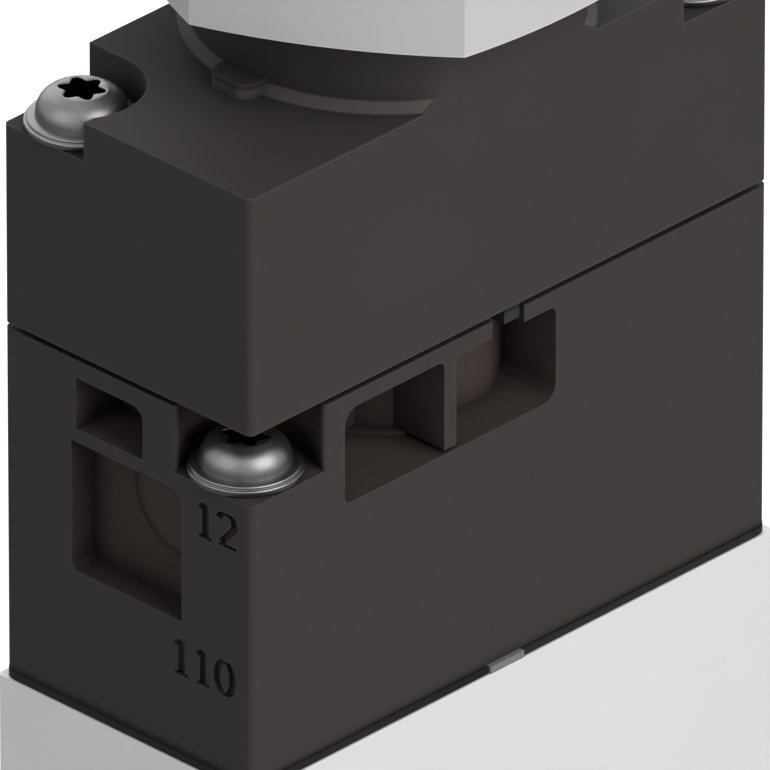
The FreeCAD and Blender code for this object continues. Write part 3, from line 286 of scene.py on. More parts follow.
def moulded_plastic(name, dark, light, roughness, texture, depth, wear_and_highlight_share=0.3, cored=False):
    """Moulded plastic: a fine even grain, faint mottling, edges lightened by wear and a painted
    highlight, and painted shade in its crevices.

    With the window tint, light and shade, the moulding is browner and lighter inside its windows
    and its sunk numbers, partly painted light, and darker round the boss as painted shade. Any
    other that reaches as high as the neck has painted light on the band at the neck's foot."""
    finish = Finish(name, Metallic=0.0, Specular_IOR_Level=PLASTIC_GLOSS)
    mottle = finish.noise(MOTTLE_SIZE, detail=2.0)
    grain = finish.noise(texture, detail=2.0, roughness=0.6)
    tone = (mottle * MOTTLE_SHARE + grain * GRAIN_SHARE).clamped()
    colour = finish.between(tone, dark, light)
    # Edges lightened: partly wear, partly a painted highlight on the small rounds.
    edge_wear_and_highlight = finish.edges(EDGE_WEAR_AND_HIGHLIGHT_WIDTH) * wear_and_highlight_share
    paler = tuple(part * EDGE_WEAR_AND_HIGHLIGHT_PALER for part in light)
    colour = finish.mixed(edge_wear_and_highlight, colour, (*paler, 1.0))
    # Painted light: a browner, lighter colour inside the windows and sunk numbers; then painted
    # shade in the lower window, round the boss.
    if cored:
        colour = finish.mixed(beneath_the_skin(finish), colour, (*WINDOW_TINT_AND_LIGHT_COLOUR, 1.0))
        colour = finish.mixed(lower_window_shade(finish), colour, (*SHADE_COLOUR, 1.0))
    else:
        # Painted light on the band at the neck's foot.
        colour = finish.mixed(neck_band_light(finish), colour, (*paler, 1.0))
    # Painted shade: the base colour darkens towards the dark tone in crevices.
    open_air = finish.crevices(CREVICE_REACH).clamped() ** CREVICE_POWER
    crevice_shade_colour = tuple(part * CREVICE_SHADE_SHARE for part in dark)
    finish.set("Base Color", finish.mixed(open_air, (*crevice_shade_colour, 1.0), colour))
    finish.set("Roughness", (roughness + (mottle - 0.5) * 0.08 + (grain - 0.5) * 0.06).clamped())
    finish.grain(grain, depth)
    return finish.material


# Metals, rubber and gasket sheet

ALUMINIUM_DARK = (0.74, 0.74, 0.74)
ALUMINIUM_LIGHT = (0.82, 0.82, 0.82)
TOOL_MARK_DEPTH = 0.002 * MM
SOCKET_SHADE_COLOUR = (0.004, 0.004, 0.004, 1.0)
LOWER_TAB_X = (-2.1 * MM, 0.87 * MM)
LOWER_TAB_Y = (-20 * MM, -10.5 * MM)
UPPER_TAB_TOP = 78.3 * MM
TAB_MARGIN = 0.1 * MM


def blasted_aluminium():
    """Bead-blasted and anodised aluminium: pale, even and dull, with a very fine sparkle."""
    finish = Finish("blasted_aluminium", Specular_IOR_Level=0.4)
    cloud = finish.noise(14 * MM, detail=2.0)
    grain = finish.noise(0.16 * MM, detail=2.0, roughness=0.7)
    tone = (cloud * 0.5 + grain * 0.5).clamped()
    finish.set("Base Color", finish.between(tone, ALUMINIUM_DARK, ALUMINIUM_LIGHT))
    finish.set("Metallic", 0.2)
    finish.set("Roughness", (0.46 + (grain - 0.5) * 0.1).clamped())
    finish.grain(grain, 0.006 * MM)
    return finish.material


def metal(name, dark, light, roughness, size, stretch=None, socket_shade=False):
    """Bare metal with fine tool marks; where the mesh says so, painted shade darkens the screw
    sockets.
    """
    finish = Finish(name, Metallic=1.0)
    marks = finish.noise(size, detail=3.0, stretch=stretch)
    colour = finish.between(marks, dark, light)
    if socket_shade:
        # Painted shade in the screw sockets.
        colour = finish.mixed(finish.attribute("hollow"), colour, SOCKET_SHADE_COLOUR)
    finish.set("Base Color", colour)
    finish.set("Roughness", (roughness + (marks - 0.5) * 0.12).clamped())
    finish.grain(marks, TOOL_MARK_DEPTH)
    return finish.material


def rubber(name, dark, light, roughness):
    """Moulded rubber with a dusty bloom."""
    finish = Finish(name, Metallic=0.0, Specular_IOR_Level=0.25)
    bloom = finish.noise(1.2 * MM, detail=4.0)
    finish.set("Base Color", finish.between(bloom, dark, light))
    finish.set("Roughness", (roughness + (bloom - 0.5) * 0.1).clamped())
    finish.grain(bloom, 0.01 * MM)
    return finish.material


def gasket_sheet():
    """Grey gasket sheet, pale on one tab. In the joints painted shade makes it nearly black, and
    the slate on the other tab is darkened by painted shade in its slot.
    """
    finish = Finish("gasket_sheet", Metallic=0.0, Specular_IOR_Level=0.25)
    foot, head = low("body_gasket")[2] - TAB_MARGIN, high("body_gasket")[2] + TAB_MARGIN
    lower_tab = finish.within(0, *LOWER_TAB_X, 0.02 * MM)
    lower_tab = lower_tab * finish.within(2, foot, head, 0.05 * MM)
    lower_tab = lower_tab * finish.within(1, *LOWER_TAB_Y, 0.1 * MM)
    upper_foot = low("housing_gasket")[2] - TAB_MARGIN
    upper_tab = finish.within(2, upper_foot, UPPER_TAB_TOP, 0.05 * MM)
    fibre = finish.noise(0.4 * MM, detail=3.0)
    # Painted shade: nearly black in the joints, and a darker slate tab in its slot.
    inner = finish.between(fibre, (0.007, 0.007, 0.007), (0.012, 0.012, 0.012))
    pale = finish.between(fibre, (0.15, 0.16, 0.155), (0.19, 0.20, 0.195))
    slate = finish.between(fibre, (0.020, 0.021, 0.025), (0.026, 0.027, 0.031))
    finish.set("Base Color", finish.mixed(lower_tab, finish.mixed(upper_tab, inner, slate), pale))
    finish.set("Roughness", (0.7 + (fibre - 0.5) * 0.1).clamped())
    finish.grain(fibre, 0.01 * MM)
    return finish.material


DARK_PLASTIC = moulded_plastic(
    "dark_moulded_plastic", HOUSING_DARK, HOUSING_LIGHT,
    roughness=0.6, texture=0.14 * MM, depth=0.006 * MM, wear_and_highlight_share=0.8,
)
WINDOW_LIT_AND_SHADED_PLASTIC = moulded_plastic(
    "window_lit_and_shaded_plastic", HOUSING_DARK, HOUSING_LIGHT,
    roughness=0.6, texture=0.14 * MM, depth=0.006 * MM, cored=True,
)
LIGHT_PLASTIC = moulded_plastic(
    "light_moulded_plastic", (0.50, 0.50, 0.50), (0.54, 0.54, 0.54),
    roughness=0.5, texture=0.2 * MM, depth=0.004 * MM,
)
BUTTON_PLASTIC = moulded_plastic(
    "button_moulded_plastic", (0.030, 0.028, 0.027), (0.036, 0.034, 0.033),
    roughness=0.42, texture=0.2 * MM, depth=0.003 * MM,
)
ALUMINIUM = blasted_aluminium()
TURNED_ALUMINIUM = metal(
    "turned_aluminium", (0.60, 0.61, 0.63), (0.70, 0.71, 0.73),
    roughness=0.32, size=0.5 * MM, stretch=(1.0, 1.0, 12.0),
)
BRIGHT_STEEL = metal(
    "bright_steel", (0.16, 0.16, 0.165), (0.22, 0.22, 0.225),
    roughness=0.4, size=0.8 * MM, socket_shade=True,
)
SPRING_WIRE = metal(
    "spring_wire", (0.40, 0.41, 0.43), (0.56, 0.57, 0.59), roughness=0.3, size=0.3 * MM
)
BRASS = metal(
    "turned_brass", (0.62, 0.46, 0.22), (0.74, 0.57, 0.30),
    roughness=0.3, size=0.4 * MM, stretch=(1.0, 1.0, 10.0),
)
SEAL_RUBBER = rubber(
    "seal_rubber_black", (0.016, 0.016, 0.016), (0.026, 0.026, 0.026), roughness=0.55
)
GASKET = gasket_sheet()

FINISHES = {
    "dark_polymer": DARK_PLASTIC,
    "light_polymer": LIGHT_PLASTIC,
    "button_polymer": BUTTON_PLASTIC,
    "body_aluminium": ALUMINIUM,
    "spool_aluminium": TURNED_ALUMINIUM,
    "screw_steel": BRIGHT_STEEL,
    "spring_steel": SPRING_WIRE,
    "seat_brass": BRASS,
    "seal_rubber": SEAL_RUBBER,
    "gasket_rubber": GASKET,
}


def dress_solids():
    """Each solid that stays in view takes the finish of its material slot."""
    for solid in frame["nodes"].values():
        for place, used in enumerate(solid.data.materials):
            solid.data.materials[place] = FINISHES[used.name.split(".")[0]]


# Meshes

TURNED_SHARP = 32.0
MOULDED_SHARP = 35.0
WIRE_SHARP = 50.0


def piece(name, points, faces, slot, body="valve", instead_of=()):
    """A new mesh piece on a body, in place of its solids."""
    mesh = bpy.data.meshes.new(name)
    mesh.from_pydata(points.tolist(), [], faces.tolist())
    mesh.validate()
    return finished(name, mesh, slot, body, instead_of, TURNED_SHARP)


def finished(name, mesh, slot, body, instead_of, sharp):
    """The object for a mesh: in its finish, on its body and in place of its solids.

    It is shaded smooth but for edges sharper than an angle in degrees."""
    mesh.shade_smooth()
    mesh.set_sharp_from_angle(angle=math.radians(sharp))
    mesh.materials.clear()
    mesh.materials.append(FINISHES[slot])
    made = bpy.data.objects.new(name, mesh)
    bpy.context.scene.collection.objects.link(made)
    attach(made, body)
    if instead_of:
        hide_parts(*instead_of)
    return made


def grid_faces(rows, columns):
    """Quads between neighbouring rows and columns of a grid, the columns going round."""
    row, column = np.meshgrid(np.arange(rows - 1), np.arange(columns), indexing="ij")
    following = (column + 1) % columns
    here = row * columns
    above = (row + 1) * columns
    quads = np.stack([here + column, here + following, above + following, above + column], axis=-1)
    return quads.reshape(-1, 4)


def turned_surface(radii, levels, centre, columns):
    """Points at radius r(row, column) and level z(row) round an upright axis.

    radii is a grid of rows by columns, or one radius a row. Where the rows climb, the
    quads of grid_faces look away from the axis."""
    if radii.ndim == 1:
        radii = np.repeat(radii[:, None], columns, axis=1)
    levels = np.repeat(levels[:, None], columns, axis=1)
    around = np.arange(columns) * 2 * np.pi / columns
    x = centre[0] + radii * np.cos(around)
    y = centre[1] + radii * np.sin(around)
    return np.stack([x, y, levels], axis=-1).reshape(-1, 3)


def joined(parts):
    """One list of points and of faces from several."""
    points, faces, count = [], [], 0
    for part_points, part_faces in parts:
        points.append(part_points)
        faces.append(part_faces + count)
        count += len(part_points)
    return np.concatenate(points), np.concatenate(faces)


# Screws

SCREW_COLUMNS = 72
THREAD_ROWS_PER_TURN = 6
THREAD_PITCH = 0.5 * MM
THREAD_DEPTH = 0.27 * MM
SHANK_RADIUS = 1.48 * MM
TIP_LENGTH = 0.1 * MM
SOCKET_EDGE = 0.07 * MM
SOCKET_NARROWS = 0.12 * MM
SOCKET_POINT = 0.3 * MM
SOCKET_ROWS = 4
LOBED_SOCKET_DEPTH = 1.3 * MM
HEXAGON_SOCKET_DEPTH = 1.6 * MM
LONG_THREAD = 9 * MM
BARE_UNDER_HEAD = 2 * MM


def six_lobes(around):
    """The rim of a six-lobed socket: a mean radius plus a cosine of six times the angle."""
    return (1.27 + 0.23 * np.cos(6 * around)) * MM


def hexagon(around):
    """The rim of a hexagon socket: the flat's distance over the cosine of the angle to it."""
    sixth = np.pi / 3
    return 1.25 * MM / np.cos((around + sixth / 2) % sixth - sixth / 2)


def screw(centre, tip, seat, head, rim, socket_depth, thread_top, climb=1.0):
    """One screw as a single turned grid, from its tip through the head into its socket.

    The shank's radius dips by a ridge function of (level / pitch - angle / turn) along the
    thread. head is the head's outline as (radius, height over the seat) pairs. climb is -1
    for a screw whose head is below its tip."""
    around = np.arange(SCREW_COLUMNS) * 2 * np.pi / SCREW_COLUMNS
    length = abs(thread_top - tip)
    rows = int(length / THREAD_PITCH * THREAD_ROWS_PER_TURN)
    along = np.linspace(0, length, rows)[:, None]
    phase = (along / THREAD_PITCH - climb * around[None, :] / (2 * np.pi)) % 1.0
    groove = np.clip(np.abs(phase - 0.5) * 2.6 - 0.25, 0, 1)
    fade = np.clip(along / THREAD_PITCH, 0, 1) * np.clip((length - along) / THREAD_PITCH, 0, 1)
    under_last = np.arange(rows)[:, None] < rows - 1
    thread = SHANK_RADIUS - THREAD_DEPTH * (1 - fade * (1 - groove)) * under_last
    start = abs(seat - tip)
    top = start + head[-1, 1]
    widen = SOCKET_EDGE * np.array([1.0, 0.3, 0.0, 0.0])
    drop = np.array([0.0, 0.3 * SOCKET_EDGE, SOCKET_EDGE, socket_depth])
    floor = top - socket_depth - np.array([SOCKET_NARROWS, SOCKET_POINT])
    ring = np.ones((1, SCREW_COLUMNS))
    radii = np.concatenate([
        0 * ring, (SHANK_RADIUS - THREAD_DEPTH) * ring, thread, SHANK_RADIUS * ring,
        head[:, :1] * ring, rim(around) + widen[:, None], 0.55 * rim(around) * ring, 0 * ring,
    ])
    levels = np.concatenate([
        [0.0, 0.0], TIP_LENGTH + along[:, 0], [start], start + head[:, 1], top - drop, floor,
    ])
    points = turned_surface(radii, tip + climb * levels, centre, SCREW_COLUMNS)
    faces = grid_faces(len(levels), SCREW_COLUMNS)
    return points, faces if climb > 0 else faces[:, ::-1]


def shade_sockets(made, screws):
    """Gives each screw's last rows, which line its socket, a 1 in the attribute hollow, where shade
    is painted into the socket.
    """
    rows = len(made.data.vertices) // SCREW_COLUMNS // screws
    hollow = np.zeros((screws, rows, SCREW_COLUMNS))
    hollow[:, rows - SOCKET_ROWS:] = 1.0
    values = made.data.attributes.new("hollow", "FLOAT", "POINT")
    values.data.foreach_set("value", hollow.ravel())


def arc(start, end, bulge, count):
    """Points from start to end on a curve that swells outwards by a share of its chord."""
    share = np.linspace(0, 1, count)[:, None]
    start, end = np.array(start), np.array(end)
    normal = np.array([end[1] - start[1], start[0] - end[0]])
    return start + (end - start) * share + normal * bulge * 4 * share * (1 - share)


FLANGE_RADIUS = 3.6 * MM
FLANGE_HEAD = np.concatenate([
    np.array([[3.4, 0.0], [3.54, 0.04], [3.6, 0.14], [3.6, 0.38], [3.56, 0.44], [3.45, 0.47]]),
    np.array([[3.42, 0.5], [3.42, 0.6], [3.38, 0.66], [3.3, 0.68], [2.98, 0.74], [2.9, 0.74]]),
    arc((2.88, 0.9), (1.78, 2.42), 0.16, 12),
    np.array([[1.7, 2.47], [1.62, 2.5]]),
]) * MM
CAP_HEAD_RADIUS = 2.75 * MM
CAP_HEAD = np.array([
    [2.6, 0.0], [2.72, 0.05], [2.75, 0.15], [2.75, 2.75], [2.68, 2.9], [2.5, 3.0], [1.75, 3.0],
]) * MM


def flanged_screws(name, node):
    """The two long screws of one diagonal: their flanges reach the corners of their box."""
    lowest, highest = low(node), high(node)
    spread = (highest - lowest) / 2 - FLANGE_RADIUS
    middle = (highest + lowest) / 2
    signs = ((-1, -1), (1, 1)) if node == "pilot_screws" else ((-1, 1), (1, -1))
    tip, seat = lowest[2], highest[2] - FLANGE_HEAD[-1, 1]
    thread_top = tip + LONG_THREAD
    parts = []
    for x_sign, y_sign in signs:
        centre = (middle[0] + x_sign * spread[0], middle[1] + y_sign * spread[1])
        parts.append(screw(
            centre, tip, seat, FLANGE_HEAD, six_lobes, LOBED_SOCKET_DEPTH, thread_top
        ))
    points, faces = joined(parts)
    made = piece(name, points, faces, "screw_steel", instead_of=[node])
    shade_sockets(made, len(parts))


def cap_screws():
    """Four cylinder-head screws that hold the end cap, seen from below."""
    lowest, highest = low("end_cap_screws"), high("end_cap_screws")
    spread = (highest - lowest) / 2 - CAP_HEAD_RADIUS
    tip, seat = highest[2], lowest[2] + CAP_HEAD[-1, 1]
    thread_top = seat + BARE_UNDER_HEAD
    parts = []
    for x_sign in (-1, 1):
        for y_sign in (-1, 1):
            centre = (x_sign * spread[0], y_sign * spread[1])
            parts.append(screw(
                centre, tip, seat, CAP_HEAD, hexagon, HEXAGON_SOCKET_DEPTH, thread_top, climb=-1.0
            ))
    points, faces = joined(parts)
    made = piece(
        "cylinder_head_screws", points, faces, "screw_steel", instead_of=["end_cap_screws"]
    )
    shade_sockets(made, len(parts))


# Port threads

PORT_RADIUS = 4.283 * MM
PORT_PITCH = 0.907 * MM
PORT_RIDGE = 0.33 * MM
PORT_THREAD_START = 0.75 * MM
PORT_THREAD_LENGTH = 6.4 * MM
PORT_ROWS_PER_TURN = 10
PORT_COLUMNS = 56
PORT_SUNK = 0.03 * MM
PORT_PROUD = 0.05 * MM
PORT_BACK = 0.2 * MM
PORT_LEVELS = ((11 * MM, 1), (19 * MM, -1), (28 * MM, 1))


def port_thread(level, side):
    """A threaded ring that lines the mouth of the port on one side of the body.

    The radius is the bore's less a ridge of (1 + cosine of (along / pitch - angle / turn)) / 2
    to the power 1.3, which fades out at both ends. The ring's back lies inside the metal, and
    its last row of quads joins its first."""
    rows = int(PORT_THREAD_LENGTH / PORT_PITCH * PORT_ROWS_PER_TURN)
    along = np.linspace(0, PORT_THREAD_LENGTH, rows)[:, None]
    around = np.arange(PORT_COLUMNS) * 2 * np.pi / PORT_COLUMNS
    phase = along / PORT_PITCH - side * around[None, :] / (2 * np.pi)
    fade = np.clip(along / PORT_PITCH, 0, 1)
    fade = fade * np.clip((PORT_THREAD_LENGTH - along) / PORT_PITCH, 0, 1)
    ridge = PORT_RIDGE * (0.5 + 0.5 * np.cos(2 * np.pi * phase)) ** 1.3
    radius = PORT_RADIUS + PORT_SUNK - fade * (ridge + PORT_PROUD)
    back = np.full((1, PORT_COLUMNS), PORT_RADIUS + PORT_BACK)
    radius = np.concatenate([back, radius, back])
    along = np.concatenate([along[:1], along, along[-1:]])
    face = high("valve_body")[0] if side > 0 else low("valve_body")[0]
    x = np.broadcast_to(face - side * (PORT_THREAD_START + along), radius.shape)
    y = radius * np.cos(around)
    z = low("valve_body")[2] + level + radius * np.sin(around)
    points = np.stack([x, y, z], axis=-1).reshape(-1, 3)
    faces = grid_faces(rows + 3, PORT_COLUMNS) % len(points)
    return points, faces if side > 0 else faces[:, ::-1]


def port_threads():
    """The threads of the three ports, one piece in the body's metal."""
    points, faces = joined([port_thread(level, side) for level, side in PORT_LEVELS])
    piece("port_threads", points, faces, "body_aluminium")


# Button

BUTTON_COLUMNS = 128
BUTTON_WALL = 1.8 * MM
BUTTON_ROOF = 3.0 * MM
STEM_RADIUS = 2.05 * MM
STEM_DEPTH = 4.0 * MM
HUB_RADIUS = 4.4 * MM
SKIRT_ROUND = 0.3 * MM
SHOULDER = 1.2 * MM
DISH_RADIUS = 11.6 * MM
DISH_DEPTH = 0.45 * MM


def press_button():
    """A mushroom button turned round its axis, with a shallow dish for the finger.

    The dish lies its depth times (1 - share squared) squared below the top, where share is
    the radius over the dish's own."""
    lowest, highest = low("push_button"), high("push_button")
    base, top = lowest[2], highest[2]
    radius = (highest[0] - lowest[0]) / 2
    inner = radius - BUTTON_WALL
    outline = [(0, base + STEM_DEPTH), (STEM_RADIUS, base + STEM_DEPTH), (STEM_RADIUS, base)]
    outline += [(HUB_RADIUS, base), (HUB_RADIUS, top - BUTTON_ROOF), (inner, top - BUTTON_ROOF)]
    outline += [(inner, base + SKIRT_ROUND), (inner + SKIRT_ROUND, base)]
    outline += [(radius - SKIRT_ROUND, base)]
    for turn in np.radians(np.linspace(-60, 0, 4)):
        outline.append((
            radius - SKIRT_ROUND + SKIRT_ROUND * math.cos(turn),
            base + SKIRT_ROUND + SKIRT_ROUND * math.sin(turn),
        ))
    for turn in np.radians(np.linspace(0, 90, 10)):
        outline.append((
            radius - SHOULDER + SHOULDER * math.cos(turn),
            top - SHOULDER + SHOULDER * math.sin(turn),
        ))
    for share in np.linspace(1, 0, 14):
        outline.append((DISH_RADIUS * share, top - DISH_DEPTH * (1 - share**2) ** 2))
    radii, levels = np.array(outline).T
    points = turned_surface(radii, levels, (0, 0), BUTTON_COLUMNS)
    faces = grid_faces(len(outline), BUTTON_COLUMNS)
    piece("press_button", points, faces, "button_polymer", "button", ["push_button"])


# Softened copies of the moulded and machined solids

WELD_DISTANCE = 0.002 * MM
FLAT_ANGLE = math.radians(0.6)
EDGE_ROUND = 0.12 * MM
BODY_EDGE_ROUND = 0.2 * MM
NUT_EDGE_ROUND = 0.15 * MM
CORNER_ROUND = 0.35 * MM
GASKET_CORNER = 1.2 * MM


def merged(node):
    """A copy of a solid's mesh with its loose triangles joined and its flat faces whole."""
    shape = bmesh.new()
    shape.from_mesh(frame["nodes"][node].data)
    bmesh.ops.remove_doubles(shape, verts=shape.verts, dist=WELD_DISTANCE)
    bmesh.ops.dissolve_limit(shape, angle_limit=FLAT_ANGLE, verts=shape.verts, edges=shape.edges)
    return shape


def mesh_of(shape, name):
    """A mesh from an edited shape, which is then freed."""
    mesh = bpy.data.meshes.new(name)
    shape.to_mesh(mesh)
    shape.free()
    return mesh


def softened(node, name, slot, width, corner=None):
    """A solid's copy with a small round on its sharp edges, and its own on its upright corners."""
    shape = merged(node)
    if corner:
        round_corners(shape, node, corner)
    weigh_edges(shape)
    body = frame["nodes"][node]["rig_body"]
    made = finished(name, mesh_of(shape, name), slot, body, [node], MOULDED_SHARP)
    round_edges(made, width)


def upright_corner(edge, lowest, highest):
    """Whether an edge runs straight up a corner of a box."""
    start, end = (point.co for point in edge.verts)
    for axis in (0, 1):
        gap = min(abs(start[axis] - lowest[axis]), abs(start[axis] - highest[axis]))
        if gap > 0.05 * MM or abs(start[axis] - end[axis]) > 0.01 * MM:
            return False
    return True


def round_corners(shape, node, radius):
    """Rounds the edges that run up the corners of the node's box."""
    lowest, highest = low(node), high(node)
    corners = [edge for edge in shape.edges if upright_corner(edge, lowest, highest)]
    bmesh.ops.bevel(
        shape, geom=corners, offset=radius, segments=4, profile=0.5, affect="EDGES",
        clamp_overlap=True,
    )


def weigh_edges(shape):
    """Marks every sharp edge for the Bevel modifier."""
    weight = shape.edges.layers.float.new("bevel_weight_edge")
    for edge in shape.edges:
        sharp = edge.calc_face_angle(0.0) > math.radians(MOULDED_SHARP)
        if sharp and len(edge.link_faces) == 2:
            edge[weight] = 1.0


def round_edges(made, width):
    """A small round on the marked edges, with the flat faces between them still shaded flat."""
    bevel = made.modifiers.new("soft_edges", "BEVEL")
    bevel.width = width
    bevel.segments = 2
    bevel.limit_method = "WEIGHT"
    bevel.use_clamp_overlap = True
    bevel.miter_outer = "MITER_ARC"
    flat = made.modifiers.new("flat_faces", "WEIGHTED_NORMAL")
    flat.weight = 100
    flat.keep_sharp = True


def cut_gasket():
    """The body gasket's copy with the rounded corners of a punched sheet."""
    shape = merged("body_gasket")
    lowest, highest = low("body_gasket"), high("body_gasket")
    end = highest[0] - 0.05 * MM
    half_thick = (highest[2] - lowest[2]) / 2
    corners = []
    for edge in shape.edges:
        first, second = (point.co for point in edge.verts)
        if min(abs(first.x), abs(second.x)) > end and abs(first.z - second.z) > half_thick:
            corners.append(edge)
    bmesh.ops.bevel(
        shape, geom=corners, offset=GASKET_CORNER, segments=5, profile=0.5, affect="EDGES"
    )
    mesh = mesh_of(shape, "punched_gasket")
    finished("punched_gasket", mesh, "gasket_rubber", "valve", ["body_gasket"], MOULDED_SHARP)


# Springs


def coil(node, name):
    """A spring's merged copy in the spring steel finish, in place of its solid, with a mesh of its
    own.
    """
    mesh = mesh_of(merged(node), name)
    made = finished(name, mesh, "spring_steel", "valve", [node], WIRE_SHARP)
    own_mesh(made)


# Numbers sunk in the short face

NUMBER_DEPTH = 0.35 * MM
DIGIT_HEIGHT = 2.5
DIGIT_STEP = 1.85
STEM_HALF = 0.31
HAIR_HALF = 0.11
UPPER_NUMBER_START, UPPER_NUMBER_FOOT = -5.7 * MM, 70.22 * MM
LOWER_NUMBER_START, LOWER_NUMBER_FOOT = -3.62 * MM, 59.85 * MM


def pen_stroke(path, closed=False):
    """A closed bar along a path of (across, up) points in millimetres, cut by a broad pen.

    The half width at each point is the root of (stem half * normal across) squared plus
    (hair half * normal up) squared, so upright strokes are broad and level ones thin."""
    path = np.asarray(path, float)
    ends = (np.roll(path, -1, 0) - np.roll(path, 1, 0)) if closed else np.gradient(path, axis=0)
    along = ends / np.linalg.norm(ends, axis=1, keepdims=True)
    normal = np.stack([-along[:, 1], along[:, 0]], axis=1)
    half = np.sqrt((normal[:, :1] * STEM_HALF) ** 2 + (normal[:, 1:] * HAIR_HALF) ** 2)
    left, right = path + normal * half, path - normal * half
    ring = np.stack([left, right, right, left], axis=1)
    depth = np.array([-1.0, -1.0, 1.0, 1.0])[None, :, None] * NUMBER_DEPTH / MM
    points = np.concatenate([ring, np.broadcast_to(depth, (len(path), 4, 1))], axis=2)
    rows = len(path) + (1 if closed else 0)
    faces = (grid_faces(rows, 4) % (4 * len(path))).tolist()
    if not closed:
        last = 4 * (len(path) - 1)
        faces += [[3, 2, 1, 0], [last, last + 1, last + 2, last + 3]]
    return points.reshape(-1, 3), faces


def line(*corners):
    """Points a short step apart along straight runs between corners."""
    runs = zip(corners[:-1], corners[1:])
    share = np.linspace(0, 1, 6)[:, None]
    pieces = [np.array(a) + (np.array(b) - np.array(a)) * share for a, b in runs]
    return np.concatenate([pieces[0]] + [run[1:] for run in pieces[1:]])


def one():
    """An upright stem with a small flag and a thin foot."""
    stem = line((0.95, 0.1), (0.95, DIGIT_HEIGHT - 0.05))
    flag = line((0.4, DIGIT_HEIGHT - 0.42), (0.9, DIGIT_HEIGHT - 0.15))
    foot = line((0.4, 0.11), (1.5, 0.11))
    return [pen_stroke(stem), pen_stroke(flag), pen_stroke(foot)]


def two():
    """A bowl on the upper right that runs down to the left into a level foot."""
    turn = np.radians(np.linspace(165, -38, 16))
    bowl = np.stack([0.9 + 0.68 * np.cos(turn), 1.78 + 0.6 * np.sin(turn)], axis=1)
    leg = line(tuple(bowl[-1]), (0.45, 0.32))
    foot = line((0.22, 0.2), (1.75, 0.2))
    return [pen_stroke(np.concatenate([bowl, leg[1:]])), pen_stroke(foot)]


def zero():
    """An upright oval."""
    turn = np.linspace(0, 2 * np.pi, 32, endpoint=False)
    oval = np.stack([0.95 + 0.66 * np.cos(turn), 1.25 + 1.12 * np.sin(turn)], axis=1)
    return [pen_stroke(oval, closed=True)]


def number_tool(digits, start, foot):
    """The strokes of a number on the face at -X, whose across runs along -Y, as one mesh."""
    face = low("pilot_housing")[0]
    parts = []
    for place, digit in enumerate(digits):
        for points, faces in digit():
            across, up, out = points.T
            y = start - (across + place * DIGIT_STEP) * MM
            z = foot + up * MM
            x = face - out * MM
            parts.append((np.stack([x, y, z], axis=1), faces))
    points = np.concatenate([part[0] for part in parts])
    faces, count = [], 0
    for part_points, part_faces in parts:
        faces += [[corner + count for corner in quad] for quad in part_faces]
        count += len(part_points)
    mesh = bpy.data.meshes.new("number_tool")
    mesh.from_pydata(points.tolist(), [], faces)
    mesh.validate()
    shape = bmesh.new()
    shape.from_mesh(mesh)
    bmesh.ops.recalc_face_normals(shape, faces=shape.faces)
    shape.to_mesh(mesh)
    shape.free()
    return mesh


def sink(mesh, tools):
    """The mesh with each tool's strokes cut out of it."""
    solid = bpy.data.objects.new("solid", mesh)
    bpy.context.scene.collection.objects.link(solid)
    cutters = []
    for tool in tools:
        cutter = bpy.data.objects.new("cutter", tool)
        bpy.context.scene.collection.objects.link(cutter)
        cut = solid.modifiers.new("cut", "BOOLEAN")
        cut.operation = "DIFFERENCE"
        cut.solver = "EXACT"
        cut.use_self = True
        cut.object = cutter
        cutters.append(cutter)
    bpy.context.view_layer.update()
    result = bpy.data.meshes.new_from_object(
        solid.evaluated_get(bpy.context.evaluated_depsgraph_get())
    )
    for item in [solid] + cutters:
        bpy.data.objects.remove(item)
    return result


def windowed_housing():
    """The pilot housing's softened copy, with its numbers sunk in the short face."""
    shape = merged("pilot_housing")
    round_corners(shape, "pilot_housing", CORNER_ROUND)
    weigh_edges(shape)
    tools = [
        number_tool([one, two], UPPER_NUMBER_START, UPPER_NUMBER_FOOT),
        number_tool([one, one, zero], LOWER_NUMBER_START, LOWER_NUMBER_FOOT),
    ]
    mesh = sink(mesh_of(shape, "windowed_housing"), tools)
    made = finished(
        "windowed_housing", mesh, "dark_polymer", "valve", ["pilot_housing"], MOULDED_SHARP
    )
    mesh.materials[0] = WINDOW_LIT_AND_SHADED_PLASTIC
    round_edges(made, EDGE_ROUND)


# Stage, light and camera

PHOTO_PIXELS = 770
SENSOR = 36.0
CAMERA_AZIMUTH = math.radians(-45.85)
CAMERA_ELEVATION = math.radians(28.589)
CAMERA_DISTANCE = 2.0
FOCAL_PIXELS = 32818.6
AXIS_PIXEL = (387.1, 13.9)
AXIS_POINT = Vector((0.0, 0.0, high("actuator_housing")[2] - NECK_HEIGHT))
AMBIENT = 0.16
LAMP_TARGET = Vector((0, 0, 70 * MM))
FLOOR_DROP = 0.02 * MM
FLOOR_RADIUS = 1.5
FLOOR_COLUMNS = 64
FLOOR_COLOUR = (0.9, 0.9, 0.9)
FLOOR_IN_REFLECTIONS = (0.3, 0.3, 0.3)
FLOOR_GLOW = (0.55, 0.55, 0.55)


def direction(azimuth, elevation):
    """The unit vector from the object towards a place at that azimuth and elevation."""
    flat = math.cos(elevation)
    return Vector((math.sin(azimuth) * flat, -math.cos(azimuth) * flat, math.sin(elevation)))


